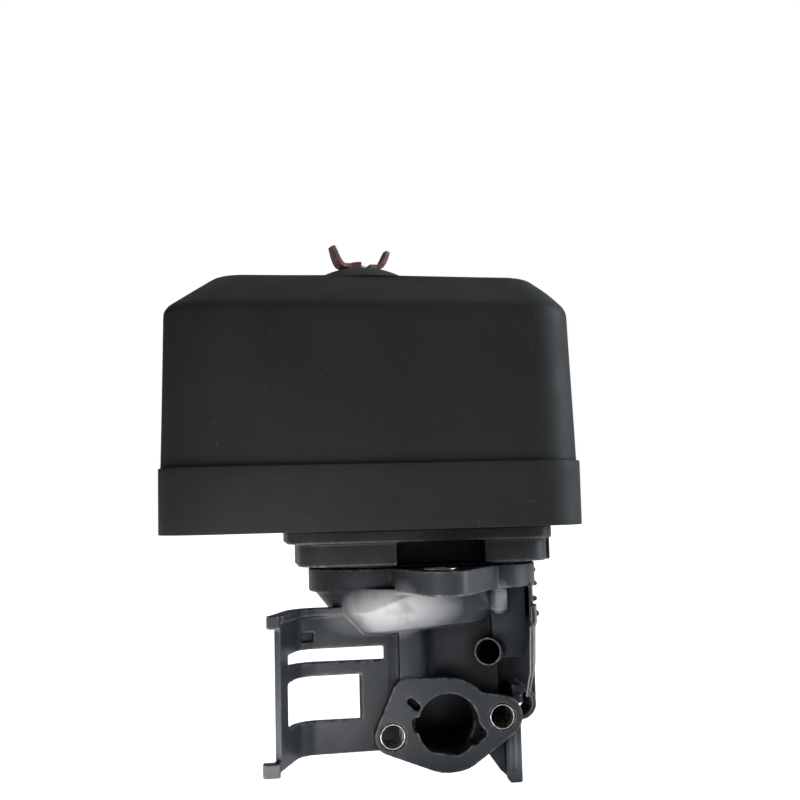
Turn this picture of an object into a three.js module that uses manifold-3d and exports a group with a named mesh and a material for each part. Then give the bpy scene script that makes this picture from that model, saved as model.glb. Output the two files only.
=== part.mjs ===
// Air filter housing of a small single-cylinder petrol engine, with its element and fixings.
// Millimetres. +Z is up, +X runs along the long side of the cover, -Y faces the carburettor.
// Sizes are drawn round the axis of the centre stud, level with the lowest foot of the elbow.
// The finished pieces then move by STUD_X, which centres the skirt of the cover on the origin.

import * as THREE from 'three';
import { ConvexGeometry } from 'three/addons/geometries/ConvexGeometry.js';
import { mergeVertices } from 'three/addons/utils/BufferGeometryUtils.js';
import Module from 'manifold-3d';

const wasm = await Module();
wasm.setup();

// ---------------------------------------------------------------- driving dimensions

const FIT = 0.3; // clearance between two pieces that touch

// Cover: a deep tray turned upside down. Half sizes are [along X, along Y].
const STUD_X = 0.85; // the stud stands a little to the right of the middle of the cover
const SKIRT_HALF = [75.05, 57];
const WALL_FOOT_HALF = [74.2, 55.9];
const FOLD_HALF = [73.15, 54.8];
const WALL_SHIFT = -0.95;
const BROW_HALF = [65.5, 46.4]; // halfway up the chamfer, which is a little convex
const BROW_SHIFT = 1.1;
const TOP_HALF = [57.5, 38];
const TOP_SHIFT = 2; // the flat top sits towards +X
const TOP_FALL = 0.0072; // and falls a little that way, with the fold below it
const COVER_CORNER = 18;
const TOP_CORNER = 8;
const SKIRT_Z = 96.8;
const STEP_Z = 119.9;
const FOLD_Z = 175.2;
const BROW_Z = 182.2;
const BROW_CORNER = 13;
const TOP_Z = 188.6;
const COVER_WALL = 2.4;
const DOME_HALF = 25.4;
const DOME_TOP_Z = 199.2;
const DOME_SEAT_HALF = 7.4;
const DOME_SEAT_Z = 193.4;
const SEAT_WALL = 1.7;
const GROMMET_HOLE = 5;
const GROMMET_LIP = { half: 6.8, below: 1.4, above: 1 };

// Centre stud and the nuts on it (M6).
const STUD_HALF = 2.85;
const STUD_BORE = STUD_HALF + FIT;
const STUD_FOOT_Z = 71;
const STUD_TOP_Z = 200.4;
const WING_NUT = {
  hubFoot: 5.6, hubTop: 5.2, hubHigh: 2.9, collarHalf: 5, collarX: -0.7, collarHigh: 5, reach: 12.7, high: 12,
  footNear: 3.6, footFar: 8.4, footHalf: 3.2, footZ0: 2.9, footZ1: 4.4,
  heelIn: 4.4, heelZ: 4.3, heelHalf: 1.3, tipHalf: 1.2, bladeHalf: 3.6,
};
const STUD_NUT_FLATS = 10;
const COVER_WASHER = { half: 6.8, z0: 195, z1: 196.1 };
const COVER_NUT_Z = 196.4;
const STUD_WASHER = { half: 5.8, z0: 82.5, z1: 83.6 };
const STUD_NUT = { z0: 83.9, z1: 88.9 };
const ELEMENT_WASHER = { half: 8, z0: 160.9, z1: 162.1 };
const ELEMENT_NUT_Z = 162.4;
const COVER_NUT_TURN = THREE.MathUtils.degToRad(12);
const ELEMENT_NUT_TURN = THREE.MathUtils.degToRad(32);

// Tray under the cover, with a pedestal that stands on the elbow.
const TRAY_HALF = [71.2, 53.2];
const TRAY_CORNER = 16;
const FLOOR_Z = 97.2;
const FLOOR_TOP_Z = 100.2;
const LIP_TOP_Z = 106;
const LIP_WALL = 2;
const STEP_PLATE = { x0: -31, x1: 69.6, y0: -25, y1: 34, corner: 10, z0: 92, z1: 96.4, neck: 2.5 };
const COLLAR = { x0: -26.6, x1: 68.4, y0: -21, y1: 31, corner: 10, z0: 83.4 };
const COLLAR_SIDE = { x1: 70.9, y0: -9 };
const COLLAR_NOTCH = { x0: 9.4, x1: 42.6, y1: -12 };
const INTAKE = { x0: -9, x1: 40, y0: -9, y1: 22, corner: 9 };

// Gasket between the collar and the elbow.
const GASKET_Z = 82.5;
const GASKET_TOP_Z = 83.1;

// Screws that hold the tray to the elbow: [x, y].
const TRAY_SCREWS = [[-15, 20], [-15, -3], [55, -8], [57, 21]];
const SCREW_HALF = 2.35;
const SCREW_HEAD_HALF = 4;
const SCREW_FOOT_Z = 75.2;
const SCREW_HEAD_Z = 97.3;
const SCREW_HEAD_TOP_Z = 99.9;
const SCREW_DRAFT = 0.7;
const CROSS = { half: 2.4, wall: 0.5, depth: 1.2 };

// Elbow: top rim with a front lobe, funnel, trunk, chamber, flange, wings and leg.
const RIM = { x0: -21.8, x1: 67.4, y0: -16.5, y1: 31, z0: 73.3, z1: 82.2, corner: 22 };
const LOBE = { x: 24.6, y: -39.4, radius: 8.6, footLeft: 7, footRight: 49, footY: -15 };
const STAY = { x: 22.5, y: -37, hole: 5, bore: 3.3, top: 82.9, flange: 6.2 };
const ELBOW_WALL = 2.4;
const FUNNEL = [
  { x0: -21, x1: 50, y0: -16.2, y1: 29, corner: 20, z: 75, lift: 0 },
  { x0: 4, x1: 47, y0: -24, y1: 20, corner: 20, z: 74.4, lift: 0 },
  { x0: -14, x1: 50, y0: -18.4, y1: 28, corner: 16, z: 66, lift: 0.4 },
  { x0: -6.5, x1: 46, y0: -16, y1: 24, corner: 12, z: 58.6, lift: 0.8 },
  { x0: -1, x1: 44, y0: -12.5, y1: 20, corner: 10, z: 57, lift: 1 },
];
const FUNNEL_TILT_Z = 60; // the levels below this rise towards +X
const FUNNEL_TILT = 0.07;
const TRUNK = { x0: 14.3, x1: 49.6, y0: -4, y1: 28, z0: 9.4, z1: 66, bevel: 5, slope: 13, rise: 8 };
const CHAMBER = { x0: 47.2, x1: 60.6, y0: -8, y1: 22, z0: 46.6 };
const BOSS = {
  x: 49.4, ahead: 2.6, radius: 3.7, z0: 65, tipZ: 63.4, tipRadius: 2, stepX0: 47.2, stepX1: 53.2,
};
const CHAMBER_ROOM = { front: 3, back: 3, below: 2.4, above: 3 };
const GATE = { x0: 5, x1: 1, y0: 8, y1: 14, z0: 52, z1: 60 }; // opening from the trunk into the chamber
const FLANGE_Y = -14;
const FLANGE_THICK = 5;
const LUG = { left: 6.8, right: 7.9, sleeveWall: 2.1, sleeveBeyond: 1.5 };
const FLANGE_SHOULDER = [13.4, 34.9, 6.3]; // circles of the flange outline: x, z, radius
const FLANGE_FACE = 17.4;
const FLANGE_BELLY = [30, 21.2, 15.1];
const PORT_FLAT = { half: 20, leftZ: -6.9, rightZ: -14.2, low: -24 };
// Notches beside the bore: circles of their outline (x and z from the port, radius) and their depth.
const PORT_NOTCHES = [
  { circles: [[9.3, 1, 1.5], [13.1, -3.8, 1.3], [10, -6.6, 1.2], [5, -2, 2]], depth: 9 },
  { circles: [[-12.3, 1.6, 1.6], [-12, -0.8, 1.3], [-9, 1, 3]], depth: 7 },
];
const KEY_SLOT = { circles: [[14, 32.6, 1.3], [16.3, 30.5, 1.4]], depth: 4 };
const PORT = { x: 28.2, z: 23.3, bore: 11.6, wall: 3.2 };
const BUSH_SPACING = 42;
const BUSH_TILT = THREE.MathUtils.degToRad(7.2);
const BUSH_MID = { x: 27.9, z: 22.8 };
const BUSH_OUT = 4.7;
const BUSH_IN = 4.1;
const BUSH_DEPTH = 13;
const BUSH_PROUD = 0.05; // the bush starts this far inside the flange face
const STUD_HOLE_BEYOND = 2.5;
const BREATHER = { mouth: [44.4, -11.5, 49.4], root: [52, 4, 48.6], outer: 5.3, bore: 4.6 };
const WING_Z = 15.1;
const WING_TOP_Z = 68.2;
const WING_THICK = 2.2;
const WING = { x: -20, y: -22.5, inner: 9, turn: 70.3, endX: -34.5, endY: -36.5, foot: 13.4 };
const WING_LIP = { out: 2, inside: 1, top: 2.8, foot: 1.8 };
const MID_LIP = { out: 2.4, short: -12, high: 1.6 };
const WING_HOOKS = [
  { x0: -39.3, x1: -35, z0: WING_TOP_Z - 4.6, z1: WING_TOP_Z },
  { x0: -41, x1: -35, z0: WING_Z - 1.6, z1: WING_Z + 3.2 },
];
const HOOK_Y = { y0: -39.5, y1: -35.6 };
const WING_CUT_Y = { y0: -50, y1: -2 }; // depth of the cuts through the wing
const WING_BEND = { x0: -3, turn: 6, mid: 8, out: 10, end: 15, below: 1 };
const SLOT = { x0: -31.6, x1: 4.4, z0: 48.3, z1: 53.3 };
const WINDOW = { x0: -31.8, x1: -4.2, z0: 27.4, z1: 43.4 };
const NICK = { x0: -26.4, x1: -21.6, z0: 56, z1: 59.4, depth: 1.2 }; // blind recess
// Thin upright walls at the right, seen nearly edge on: plan ends, height, and how far the foot leans in.
const GUARD_THICK = 1.4;
const GUARD_WALLS = [
  { front: [57.1, -30], back: [63.8, -8], z0: 44, z1: 60.4, lean: 0.6 },
  { front: [56.5, -30], back: [63.2, -8], z0: 35, z1: 44, lean: 1.9 },
  { front: [60.2, -21], back: [64.4, -8], z0: 59, z1: 66.4, lean: 0 },
  { front: [62.2, -10], back: [66.4, 5], z0: 60, z1: 74, lean: 0 },
];
const BACK_WALL = { x0: 48, x1: 66.4, y0: 3, y1: 5.4, z0: 28.2, z1: 74 };
const BUSH_PLATE = { x0: 42, x1: 56.6, y0: 3, y1: 5.4, z0: 17.6, z1: 29 };
const REAR_FLAP = { x0: -1, x1: 15, y0: 25.6, y1: 28, z0: 9.4, z1: 40 };
const CURL = { x: 57.2, z: 29.2, radius: 6.2, wall: 1.7, y0: -9, y1: 5.4 };
const CURL_TAB = { x0: 53.8, x1: 57.2, y0: -10, y1: -8.6, z0: 29.4, z1: 32.6 };
const CURL_TIE = { x0: 53.8, x1: 58.2, y0: -9, y1: 5.4, z0: 29.4, z1: 36.2 };
const BEADS = [[66.6, 0, 79, 0.8], [66.8, 0, 73.6, 1], [66.4, -0.6, 67.8, 1.1], [66.7, -0.6, 62, 1.4]];
const LEG = { x0: 50.8, x1: 57, y0: -9.5, y1: -2.5, z0: 2.4, z1: 26, toe: 1.4, toeHigh: 3 };
const LEG_RIBS = { xs: [0.9, 2.7], wide: 0.9, ahead: 0.7, z0: 5 };
const LEG_WEB = [[-10.8, 18], [-6.4, 11], [-1.2, 3.6], [1, 3], [1, 22]]; // x from the leg, z
const LEG_WEB_Y = { y0: -6.5, y1: -4.5 };
const STUD_BOSS = { radius: 6, z0: 70.2, web: 1.6, y0: -14, y1: 27 };

// Filter element, an oblong ring round the stud. Half sizes are [along X, along Y].
const SEAL = { out: [50, 33], in: [43, 26], z0: 100.5, z1: 102.5 };
const CAP_HALF = [55, 36];
const BASE_CAP = { in: [38, 21], z0: 102.8, z1: 105.8 };
const PAPER = { out: [53, 34], in: [39.6, 20.6], z0: 106.1, z1: 157 };
const SCREEN = { out: [39.3, 20.3], in: [38.5, 19.5] };
const SCREEN_SLOTS = { xs: [-18, -6, 6, 18], zs: [8, 21, 34], half: 3, high: 8 };
const TOP_CAP = { z0: 157.3, z1: 160.3 };
const FOAM = { out: [62, 43], in: [55.5, 36.5], z0: 103, z1: 160.6 };

// ---------------------------------------------------------------- solids from three.js geometry

function signedVolume(position, index) {
  const a = new THREE.Vector3();
  const b = new THREE.Vector3();
  const c = new THREE.Vector3();
  let volume = 0;
  for (let i = 0; i < index.length; i += 3) {
    a.fromBufferAttribute(position, index[i]);
    b.fromBufferAttribute(position, index[i + 1]);
    c.fromBufferAttribute(position, index[i + 2]);
    volume += a.dot(b.cross(c)) / 6;
  }
  return volume;
}

// A closed three.js geometry as a manifold solid, with its faces turned outwards.
function solid(geometry) {
  const bare = geometry.clone();
  bare.deleteAttribute('normal');
  bare.deleteAttribute('uv');
  const welded = mergeVertices(bare, 1e-4);
  const index = Uint32Array.from(welded.index.array);
  if (signedVolume(welded.attributes.position, index) < 0) index.reverse();
  return new wasm.Manifold(new wasm.Mesh({
    numProp: 3,
    vertProperties: Float32Array.from(welded.attributes.position.array),
    triVerts: index,
  }));
}

function joined(parts) {
  return parts.reduce((all, part) => all.add(part));
}

function geometryOf(body) {
  const mesh = body.getMesh();
  const geometry = new THREE.BufferGeometry();
  geometry.setAttribute('position', new THREE.BufferAttribute(mesh.vertProperties, 3));
  geometry.setIndex(new THREE.BufferAttribute(mesh.triVerts, 1));
  geometry.computeVertexNormals();
  return geometry;
}

// Rounded rectangle between two corners of the plan.
function roundedShape(x0, x1, y0, y1, radius) {
  const shape = new THREE.Shape();
  shape.moveTo(x0 + radius, y0);
  shape.absarc(x1 - radius, y0 + radius, radius, -Math.PI / 2, 0);
  shape.absarc(x1 - radius, y1 - radius, radius, 0, Math.PI / 2);
  shape.absarc(x0 + radius, y1 - radius, radius, Math.PI / 2, Math.PI);
  shape.absarc(x0 + radius, y0 + radius, radius, Math.PI, 1.5 * Math.PI);
  shape.closePath();
  return shape;
}

function oblong(half, radius = half[1] * 0.86) {
  return roundedShape(-half[0], half[0], -half[1], half[1], radius);
}

// Plan shape raised from z0 to z1.
function prism(shape, z0, z1, segments = 9) {
  const options = { depth: z1 - z0, bevelEnabled: false, curveSegments: segments };
  return solid(new THREE.ExtrudeGeometry(shape, options).translate(0, 0, z0));
}

// Shape drawn in X and Z, run from y0 to y1.
function frontPrism(shape, y0, y1, segments = 12) {
  const options = { depth: y1 - y0, bevelEnabled: false, curveSegments: segments };
  const geometry = new THREE.ExtrudeGeometry(shape, options);
  return solid(geometry.rotateX(Math.PI / 2).translate(0, y1, 0));
}

function box(x0, x1, y0, y1, z0, z1) {
  const geometry = new THREE.BoxGeometry(x1 - x0, y1 - y0, z1 - z0);
  return solid(geometry.translate((x0 + x1) / 2, (y0 + y1) / 2, (z0 + z1) / 2));
}

// Round bar between two points, which may taper.
function bar(from, to, radius, endRadius = radius, segments = 24) {
  const start = new THREE.Vector3(...from);
  const end = new THREE.Vector3(...to);
  const run = end.clone().sub(start);
  const geometry = new THREE.CylinderGeometry(endRadius, radius, run.length(), segments);
  const up = new THREE.Vector3(0, 1, 0);
  geometry.applyQuaternion(new THREE.Quaternion().setFromUnitVectors(up, run.normalize()));
  return solid(geometry.translate(...start.add(end).multiplyScalar(0.5).toArray()));
}

function post(x, y, radius, z0, z1, segments = 18) {
  return bar([x, y, z0], [x, y, z1], radius, radius, segments);
}

function tube(x, y, outer, bore, z0, z1, segments = 18) {
  return post(x, y, outer, z0, z1, segments).subtract(post(x, y, bore, z0 - 1, z1 + 1, segments));
}

// Body of revolution round the stud axis from [radius, z] points.
function turned(profile, segments = 28) {
  const points = profile.map(([radius, z]) => new THREE.Vector2(radius, z));
  return solid(new THREE.LatheGeometry(points, segments).rotateX(Math.PI / 2));
}

function hull(points) {
  return solid(new ConvexGeometry(points));
}

function level(shape, z, segments = 8) {
  return shape.getPoints(segments).map((p) => new THREE.Vector3(p.x, p.y, z));
}

// Convex body over circles [x, z, radius] that stand in a plane facing Y.
function frontHull(circles, y0, y1, steps = 36) {
  const points = [];
  for (const [x, z, radius] of circles) {
    for (let i = 0; i < steps; i += 1) {
      const angle = (i / steps) * 2 * Math.PI;
      const px = x + radius * Math.cos(angle);
      const pz = z + radius * Math.sin(angle);
      points.push(new THREE.Vector3(px, y0, pz), new THREE.Vector3(px, y1, pz));
    }
  }
  return hull(points);
}

// ---------------------------------------------------------------- cover

function coverLevel(half, z, inset, shift, corner = COVER_CORNER, fall = 0) {
  const radius = Math.max(corner - inset, 2);
  const x = half[0] - inset;
  const y = half[1] - inset;
  return level(roundedShape(shift - x, shift + x, -y, y, radius), z).map((p) => p.setZ(z - p.x * fall));
}

function coverBlock(inset, drop) {
  const skirt = hull([
    ...coverLevel(SKIRT_HALF, SKIRT_Z - drop, inset, -STUD_X),
    ...coverLevel(SKIRT_HALF, STEP_Z - drop, inset, -STUD_X),
  ]);
  const wall = hull([
    ...coverLevel(WALL_FOOT_HALF, STEP_Z - 4, inset, WALL_SHIFT),
    ...coverLevel(FOLD_HALF, FOLD_Z - drop / 2, inset, WALL_SHIFT, COVER_CORNER, TOP_FALL),
    ...coverLevel(BROW_HALF, BROW_Z - drop * 0.8, inset * 0.8, BROW_SHIFT, BROW_CORNER, TOP_FALL),
    ...coverLevel(TOP_HALF, TOP_Z - drop, inset * 0.7, TOP_SHIFT, TOP_CORNER, TOP_FALL),
  ]);
  return skirt.add(wall);
}

function domeBody(inset) {
  const rise = DOME_TOP_Z - TOP_Z;
  const radius = (DOME_HALF ** 2 + rise ** 2) / (2 * rise);
  const centreZ = DOME_TOP_Z - radius;
  const foot = TOP_Z - COVER_WALL - inset;
  const profile = [[0, foot], [DOME_HALF - inset, foot]];
  const steps = 6;
  for (let i = 0; i <= steps; i += 1) {
    const angle = Math.asin((DOME_HALF - inset) / radius) * (1 - i / steps);
    const r = (radius - inset) * Math.sin(angle);
    profile.push([i === steps ? 0 : r, centreZ + (radius - inset) * Math.cos(angle)]);
  }
  return turned(profile);
}

function cover() {
  const shell = coverBlock(0, 0).add(domeBody(0));
  const inside = coverBlock(COVER_WALL, COVER_WALL).add(domeBody(COVER_WALL));
  const under = DOME_SEAT_Z - SEAT_WALL;
  const rimHalf = DOME_SEAT_HALF + SEAT_WALL;
  const rimZ = DOME_TOP_Z - SEAT_WALL;
  const seat = turned([[0, under], [rimHalf, under], [rimHalf, rimZ], [0, rimZ]]);
  const recess = post(0, 0, DOME_SEAT_HALF, DOME_SEAT_Z, DOME_TOP_Z + 2, 28);
  const hole = post(0, 0, GROMMET_HOLE, DOME_SEAT_Z - 9, DOME_TOP_Z, 28);
  return shell.subtract(inside).add(seat).subtract(recess).subtract(hole);
}

function coverGrommet() {
  const body = GROMMET_HOLE - FIT;
  const lip = GROMMET_LIP.half;
  const z = DOME_SEAT_Z + FIT;
  const under = DOME_SEAT_Z - SEAT_WALL - FIT;
  const foot = under - GROMMET_LIP.below;
  const head = z + GROMMET_LIP.above;
  return turned([
    [STUD_BORE, foot], [lip, foot], [lip, under], [body, under],
    [body, z], [lip, z], [lip, head], [STUD_BORE, head], [STUD_BORE, foot],
  ], 24);
}

// ---------------------------------------------------------------- nuts and washers

function washer({ half, z0, z1 }) {
  return tube(0, 0, half, STUD_BORE, z0, z1, 20);
}

// One pressed wing: a foot at the hub and a blade that leans outwards to a rounded tip.
function wingBlade(side, z) {
  const { footNear, footFar, footHalf, reach, high, heelIn, heelHalf, tipHalf, bladeHalf } = WING_NUT;
  const near = side * footNear;
  const far = side * footFar;
  const foot = box(Math.min(near, far), Math.max(near, far), -footHalf, footHalf,
    z + WING_NUT.footZ0, z + WING_NUT.footZ1);
  const tip = [side * (reach - tipHalf), z + high - tipHalf, tipHalf];
  const heel = [side * (reach - heelIn), z + WING_NUT.heelZ, heelHalf];
  return foot.add(frontHull([tip, heel], -bladeHalf, bladeHalf, 12));
}

function wingNut(z) {
  const { hubHigh, hubFoot, hubTop, collarHalf, collarX, collarHigh, high } = WING_NUT;
  const hub = bar([0, 0, z], [0, 0, z + hubHigh], hubFoot, hubTop, 20);
  const collar = post(0, 0, collarHalf, z + 1, z + collarHigh, 20)
    .subtract(box(collarX, 2 * collarHalf, -2 * collarHalf, 2 * collarHalf, z, z + high));
  const bore = post(0, 0, STUD_BORE, z - 1, z + high, 20);
  return joined([hub, collar, wingBlade(1, z), wingBlade(-1, z)]).subtract(bore);
}

function hexNut({ z0, z1 }) {
  const nut = post(0, 0, STUD_NUT_FLATS / Math.sqrt(3), z0, z1, 6);
  return nut.subtract(post(0, 0, STUD_BORE, z0 - 1, z1 + 1, 18));
}

// ---------------------------------------------------------------- tray, gasket and screws

function patch({ x0, x1, y0, y1, corner }, inset = 0) {
  return roundedShape(x0 + inset, x1 - inset, y0 + inset, y1 - inset, Math.max(corner - inset, 1));
}

function tray() {
  const floor = prism(oblong(TRAY_HALF, TRAY_CORNER), FLOOR_Z, FLOOR_TOP_Z);
  const lipInner = oblong([TRAY_HALF[0] - LIP_WALL, TRAY_HALF[1] - LIP_WALL], TRAY_CORNER - LIP_WALL);
  const lip = prism(oblong(TRAY_HALF, TRAY_CORNER), FLOOR_TOP_Z - 1, LIP_TOP_Z)
    .subtract(prism(lipInner, FLOOR_TOP_Z - 2, LIP_TOP_Z + 1));
  const plate = prism(patch(STEP_PLATE), STEP_PLATE.z0, STEP_PLATE.z1);
  const neck = prism(patch(STEP_PLATE, STEP_PLATE.neck), STEP_PLATE.z1 - 1, FLOOR_Z + 1);
  const notch = box(COLLAR_NOTCH.x0, COLLAR_NOTCH.x1, COLLAR.y0 - 5, COLLAR_NOTCH.y1,
    COLLAR.z0 - 1, STEP_PLATE.z0);
  const side = box(COLLAR.x1 - 8, COLLAR_SIDE.x1, COLLAR_SIDE.y0, COLLAR.y1 - 5,
    COLLAR.z0, STEP_PLATE.z0 + 1);
  const collar = prism(patch(COLLAR), COLLAR.z0, STEP_PLATE.z0 + 1).add(side).subtract(notch);
  let body = joined([floor, lip, plate, neck, collar]);
  body = body.subtract(prism(patch(INTAKE), COLLAR.z0 - 1, FLOOR_TOP_Z + 1));
  for (const [x, y] of TRAY_SCREWS) {
    body = body.subtract(post(x, y, SCREW_HALF + FIT, COLLAR.z0 - 1, FLOOR_TOP_Z, 16));
    body = body.subtract(post(x, y, SCREW_HEAD_HALF + FIT, SCREW_HEAD_Z - FIT, FLOOR_TOP_Z + 1, 20));
  }
  return body;
}

function trayGasket() {
  let body = prism(patch(RIM, 1.2), GASKET_Z, GASKET_TOP_Z);
  body = body.subtract(prism(patch(INTAKE), GASKET_Z - 1, GASKET_TOP_Z + 1));
  for (const [x, y] of TRAY_SCREWS) {
    body = body.subtract(post(x, y, SCREW_HALF + FIT, GASKET_Z - 1, GASKET_TOP_Z + 1, 16));
  }
  return body;
}

function trayScrew([x, y]) {
  const top = SCREW_HEAD_TOP_Z;
  const shank = post(x, y, SCREW_HALF, SCREW_FOOT_Z, SCREW_HEAD_Z + 0.5, 16);
  const head = bar([x, y, SCREW_HEAD_Z], [x, y, top], SCREW_HEAD_HALF, SCREW_HEAD_HALF - SCREW_DRAFT, 20);
  const { half, wall, depth } = CROSS;
  const slotLong = box(x - half, x + half, y - wall, y + wall, top - depth, top + 1);
  const slotWide = box(x - wall, x + wall, y - half, y + half, top - depth, top + 1);
  return shank.add(head).subtract(slotLong).subtract(slotWide);
}

// ---------------------------------------------------------------- filter element

function oblongRing(out, inn, z0, z1) {
  return prism(oblong(out), z0, z1).subtract(prism(oblong(inn), z0 - 1, z1 + 1));
}

// Inner screen: a thin oblong wall with rows of slots through it.
function elementScreen() {
  let body = oblongRing(SCREEN.out, SCREEN.in, PAPER.z0, PAPER.z1);
  const { xs, zs, half, high } = SCREEN_SLOTS;
  for (const z of zs) {
    for (const x of xs) {
      const foot = PAPER.z0 + z;
      body = body.subtract(box(x - half, x + half, -PAPER.out[1], PAPER.out[1], foot, foot + high));
    }
  }
  return body;
}

function elementTopCap() {
  const cap = prism(oblong(CAP_HALF), TOP_CAP.z0, TOP_CAP.z1);
  return cap.subtract(post(0, 0, STUD_BORE, TOP_CAP.z0 - 1, TOP_CAP.z1 + 1));
}

// ---------------------------------------------------------------- elbow

function rim() {
  const ring = prism(patch(RIM), RIM.z0, RIM.z1);
  const lobe = [];
  for (const z of [RIM.z0, RIM.z1]) {
    const tip = new THREE.Shape().absarc(LOBE.x, LOBE.y, LOBE.radius, 0, 2 * Math.PI);
    lobe.push(...level(tip, z, 36));
    lobe.push(new THREE.Vector3(LOBE.footLeft, LOBE.footY, z));
    lobe.push(new THREE.Vector3(LOBE.footRight, LOBE.footY, z));
    lobe.push(new THREE.Vector3(LOBE.x, 0, z));
  }
  return ring.add(hull(lobe));
}

// Funnel under the rim: it narrows to the left side, slopes back below and deepens towards the trunk.
function funnel(inset) {
  const points = [];
  for (const { x0, x1, y0, y1, corner, z, lift } of FUNNEL) {
    const outline = roundedShape(x0 + inset, x1 - inset, y0 + inset, y1 - inset, corner - inset);
    const tilt = z < FUNNEL_TILT_Z ? FUNNEL_TILT : 0;
    points.push(...level(outline, z + inset * lift).map((p) => p.setZ(p.z + (p.x + 1) * tilt)));
  }
  return hull(points);
}

// Upright box of the intake, bevelled at the foot; `inset` shrinks it and `over` adds height.
function trunk(inset, over) {
  const outline = new THREE.Shape();
  const x0 = TRUNK.x0 + inset;
  const x1 = TRUNK.x1 - inset;
  const z0 = TRUNK.z0 + inset;
  outline.moveTo(x0, z0 + TRUNK.bevel);
  outline.lineTo(x0 + TRUNK.bevel, z0);
  outline.lineTo(x1 - TRUNK.slope, z0);
  outline.lineTo(x1, z0 + TRUNK.rise);
  outline.lineTo(x1, TRUNK.z1 + over);
  outline.lineTo(x0, TRUNK.z1 + over);
  outline.closePath();
  return frontPrism(outline, TRUNK.y0 + inset, TRUNK.y1 - inset);
}

function bushPlace(side) {
  const reach = (side * BUSH_SPACING) / 2;
  return [BUSH_MID.x + reach * Math.cos(BUSH_TILT), BUSH_MID.z + reach * Math.sin(BUSH_TILT)];
}

function flange() {
  const [leftX, leftZ] = bushPlace(-1);
  const [rightX, rightZ] = bushPlace(1);
  const back = FLANGE_Y + FLANGE_THICK;
  const face = [PORT.x, PORT.z, FLANGE_FACE];
  const left = frontHull([[leftX, leftZ, LUG.left], FLANGE_SHOULDER, face], FLANGE_Y, back);
  const right = frontHull([[rightX, rightZ, LUG.right], FLANGE_BELLY], FLANGE_Y, back);
  const end = FLANGE_Y + BUSH_DEPTH + LUG.sleeveBeyond;
  const sleeves = [[leftX, leftZ], [rightX, rightZ]]
    .map(([x, z]) => bar([x, back - 1, z], [x, end, z], BUSH_OUT + LUG.sleeveWall));
  return joined([left, right, ...sleeves]);
}

// Gas passage of the port: a round bore with a flat below and a notch on each side.
function portCut() {
  const from = FLANGE_Y - 1;
  const to = TRUNK.y0 + ELBOW_WALL + 1;
  const bore = bar([PORT.x, from, PORT.z], [PORT.x, to, PORT.z], PORT.bore, PORT.bore, 28);
  const flat = frontPrism(tiltedFlat(), from - 1, to + 1);
  const notches = PORT_NOTCHES.map(({ circles, depth }) => (
    frontHull(circles.map(([x, z, r]) => [PORT.x + x, PORT.z + z, r]), from, FLANGE_Y + depth, 16)));
  return joined([bore.subtract(flat), ...notches, keySlot()]);
}

// Region below the flat of the port, which is tilted a little.
function tiltedFlat() {
  const { half, leftZ, rightZ, low } = PORT_FLAT;
  const flat = new THREE.Shape();
  flat.moveTo(PORT.x - half, PORT.z + leftZ);
  flat.lineTo(PORT.x + half, PORT.z + rightZ);
  flat.lineTo(PORT.x + half, PORT.z + low);
  flat.lineTo(PORT.x - half, PORT.z + low);
  flat.closePath();
  return flat;
}

// Short slanted slot at the upper left of the port.
function keySlot() {
  return frontHull(KEY_SLOT.circles, FLANGE_Y - 1, FLANGE_Y + KEY_SLOT.depth, 12);
}

function chamber() {
  const top = RIM.z0 + 1;
  const { x, ahead, radius, z0, tipZ, tipRadius, stepX0, stepX1 } = BOSS;
  const y = CHAMBER.y0 - ahead;
  const block = box(CHAMBER.x0, CHAMBER.x1, CHAMBER.y0, CHAMBER.y1, CHAMBER.z0, top);
  const boss = bar([x, y, top], [x, y, z0], radius);
  const bevel = bar([x, y, z0 + 0.1], [x, y, tipZ], radius, tipRadius);
  const step = box(stepX0, stepX1, y, CHAMBER.y0 + 1, tipZ, top);
  return joined([block, boss, bevel, step]);
}

function chamberCavity() {
  const { front, back, below, above } = CHAMBER_ROOM;
  const room = box(TRUNK.x1, CHAMBER.x1 - ELBOW_WALL, CHAMBER.y0 + front, CHAMBER.y1 - back,
    CHAMBER.z0 + below, RIM.z0 - above);
  return room.add(box(TRUNK.x1 - GATE.x0, TRUNK.x1 + GATE.x1, GATE.y0, GATE.y1, GATE.z0, GATE.z1));
}

function breatherAxis(beyond) {
  const mouth = new THREE.Vector3(...BREATHER.mouth);
  const root = new THREE.Vector3(...BREATHER.root);
  const outward = mouth.clone().sub(root).setLength(beyond);
  return [mouth.add(outward).toArray(), root.toArray()];
}

// Left wing in plan: straight behind the bay, round the corner, then towards the front.
// The band runs from `inside` mm within the wall's inner face to `thick` mm outside it.
function wingPlan(thick, end = 0, inside = 0) {
  const turn = THREE.MathUtils.degToRad(90 + WING.turn);
  const run = new THREE.Vector2(Math.cos(turn + Math.PI / 2), Math.sin(turn + Math.PI / 2));
  const side = new THREE.Vector2(Math.cos(turn), Math.sin(turn));
  const tip = new THREE.Vector2(WING.endX, WING.endY).addScaledVector(run, end);
  const inner = WING.inner - inside;
  const outer = WING.inner + thick;
  const plan = new THREE.Shape();
  plan.moveTo(WING.foot, WING.y + inner);
  plan.absarc(WING.x, WING.y, inner, Math.PI / 2, turn);
  plan.lineTo(tip.x - side.x * inside, tip.y - side.y * inside);
  plan.lineTo(tip.x + side.x * thick, tip.y + side.y * thick);
  plan.absarc(WING.x, WING.y, outer, turn, Math.PI / 2, true);
  plan.lineTo(WING.foot, WING.y + outer);
  plan.closePath();
  return plan;
}

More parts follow.
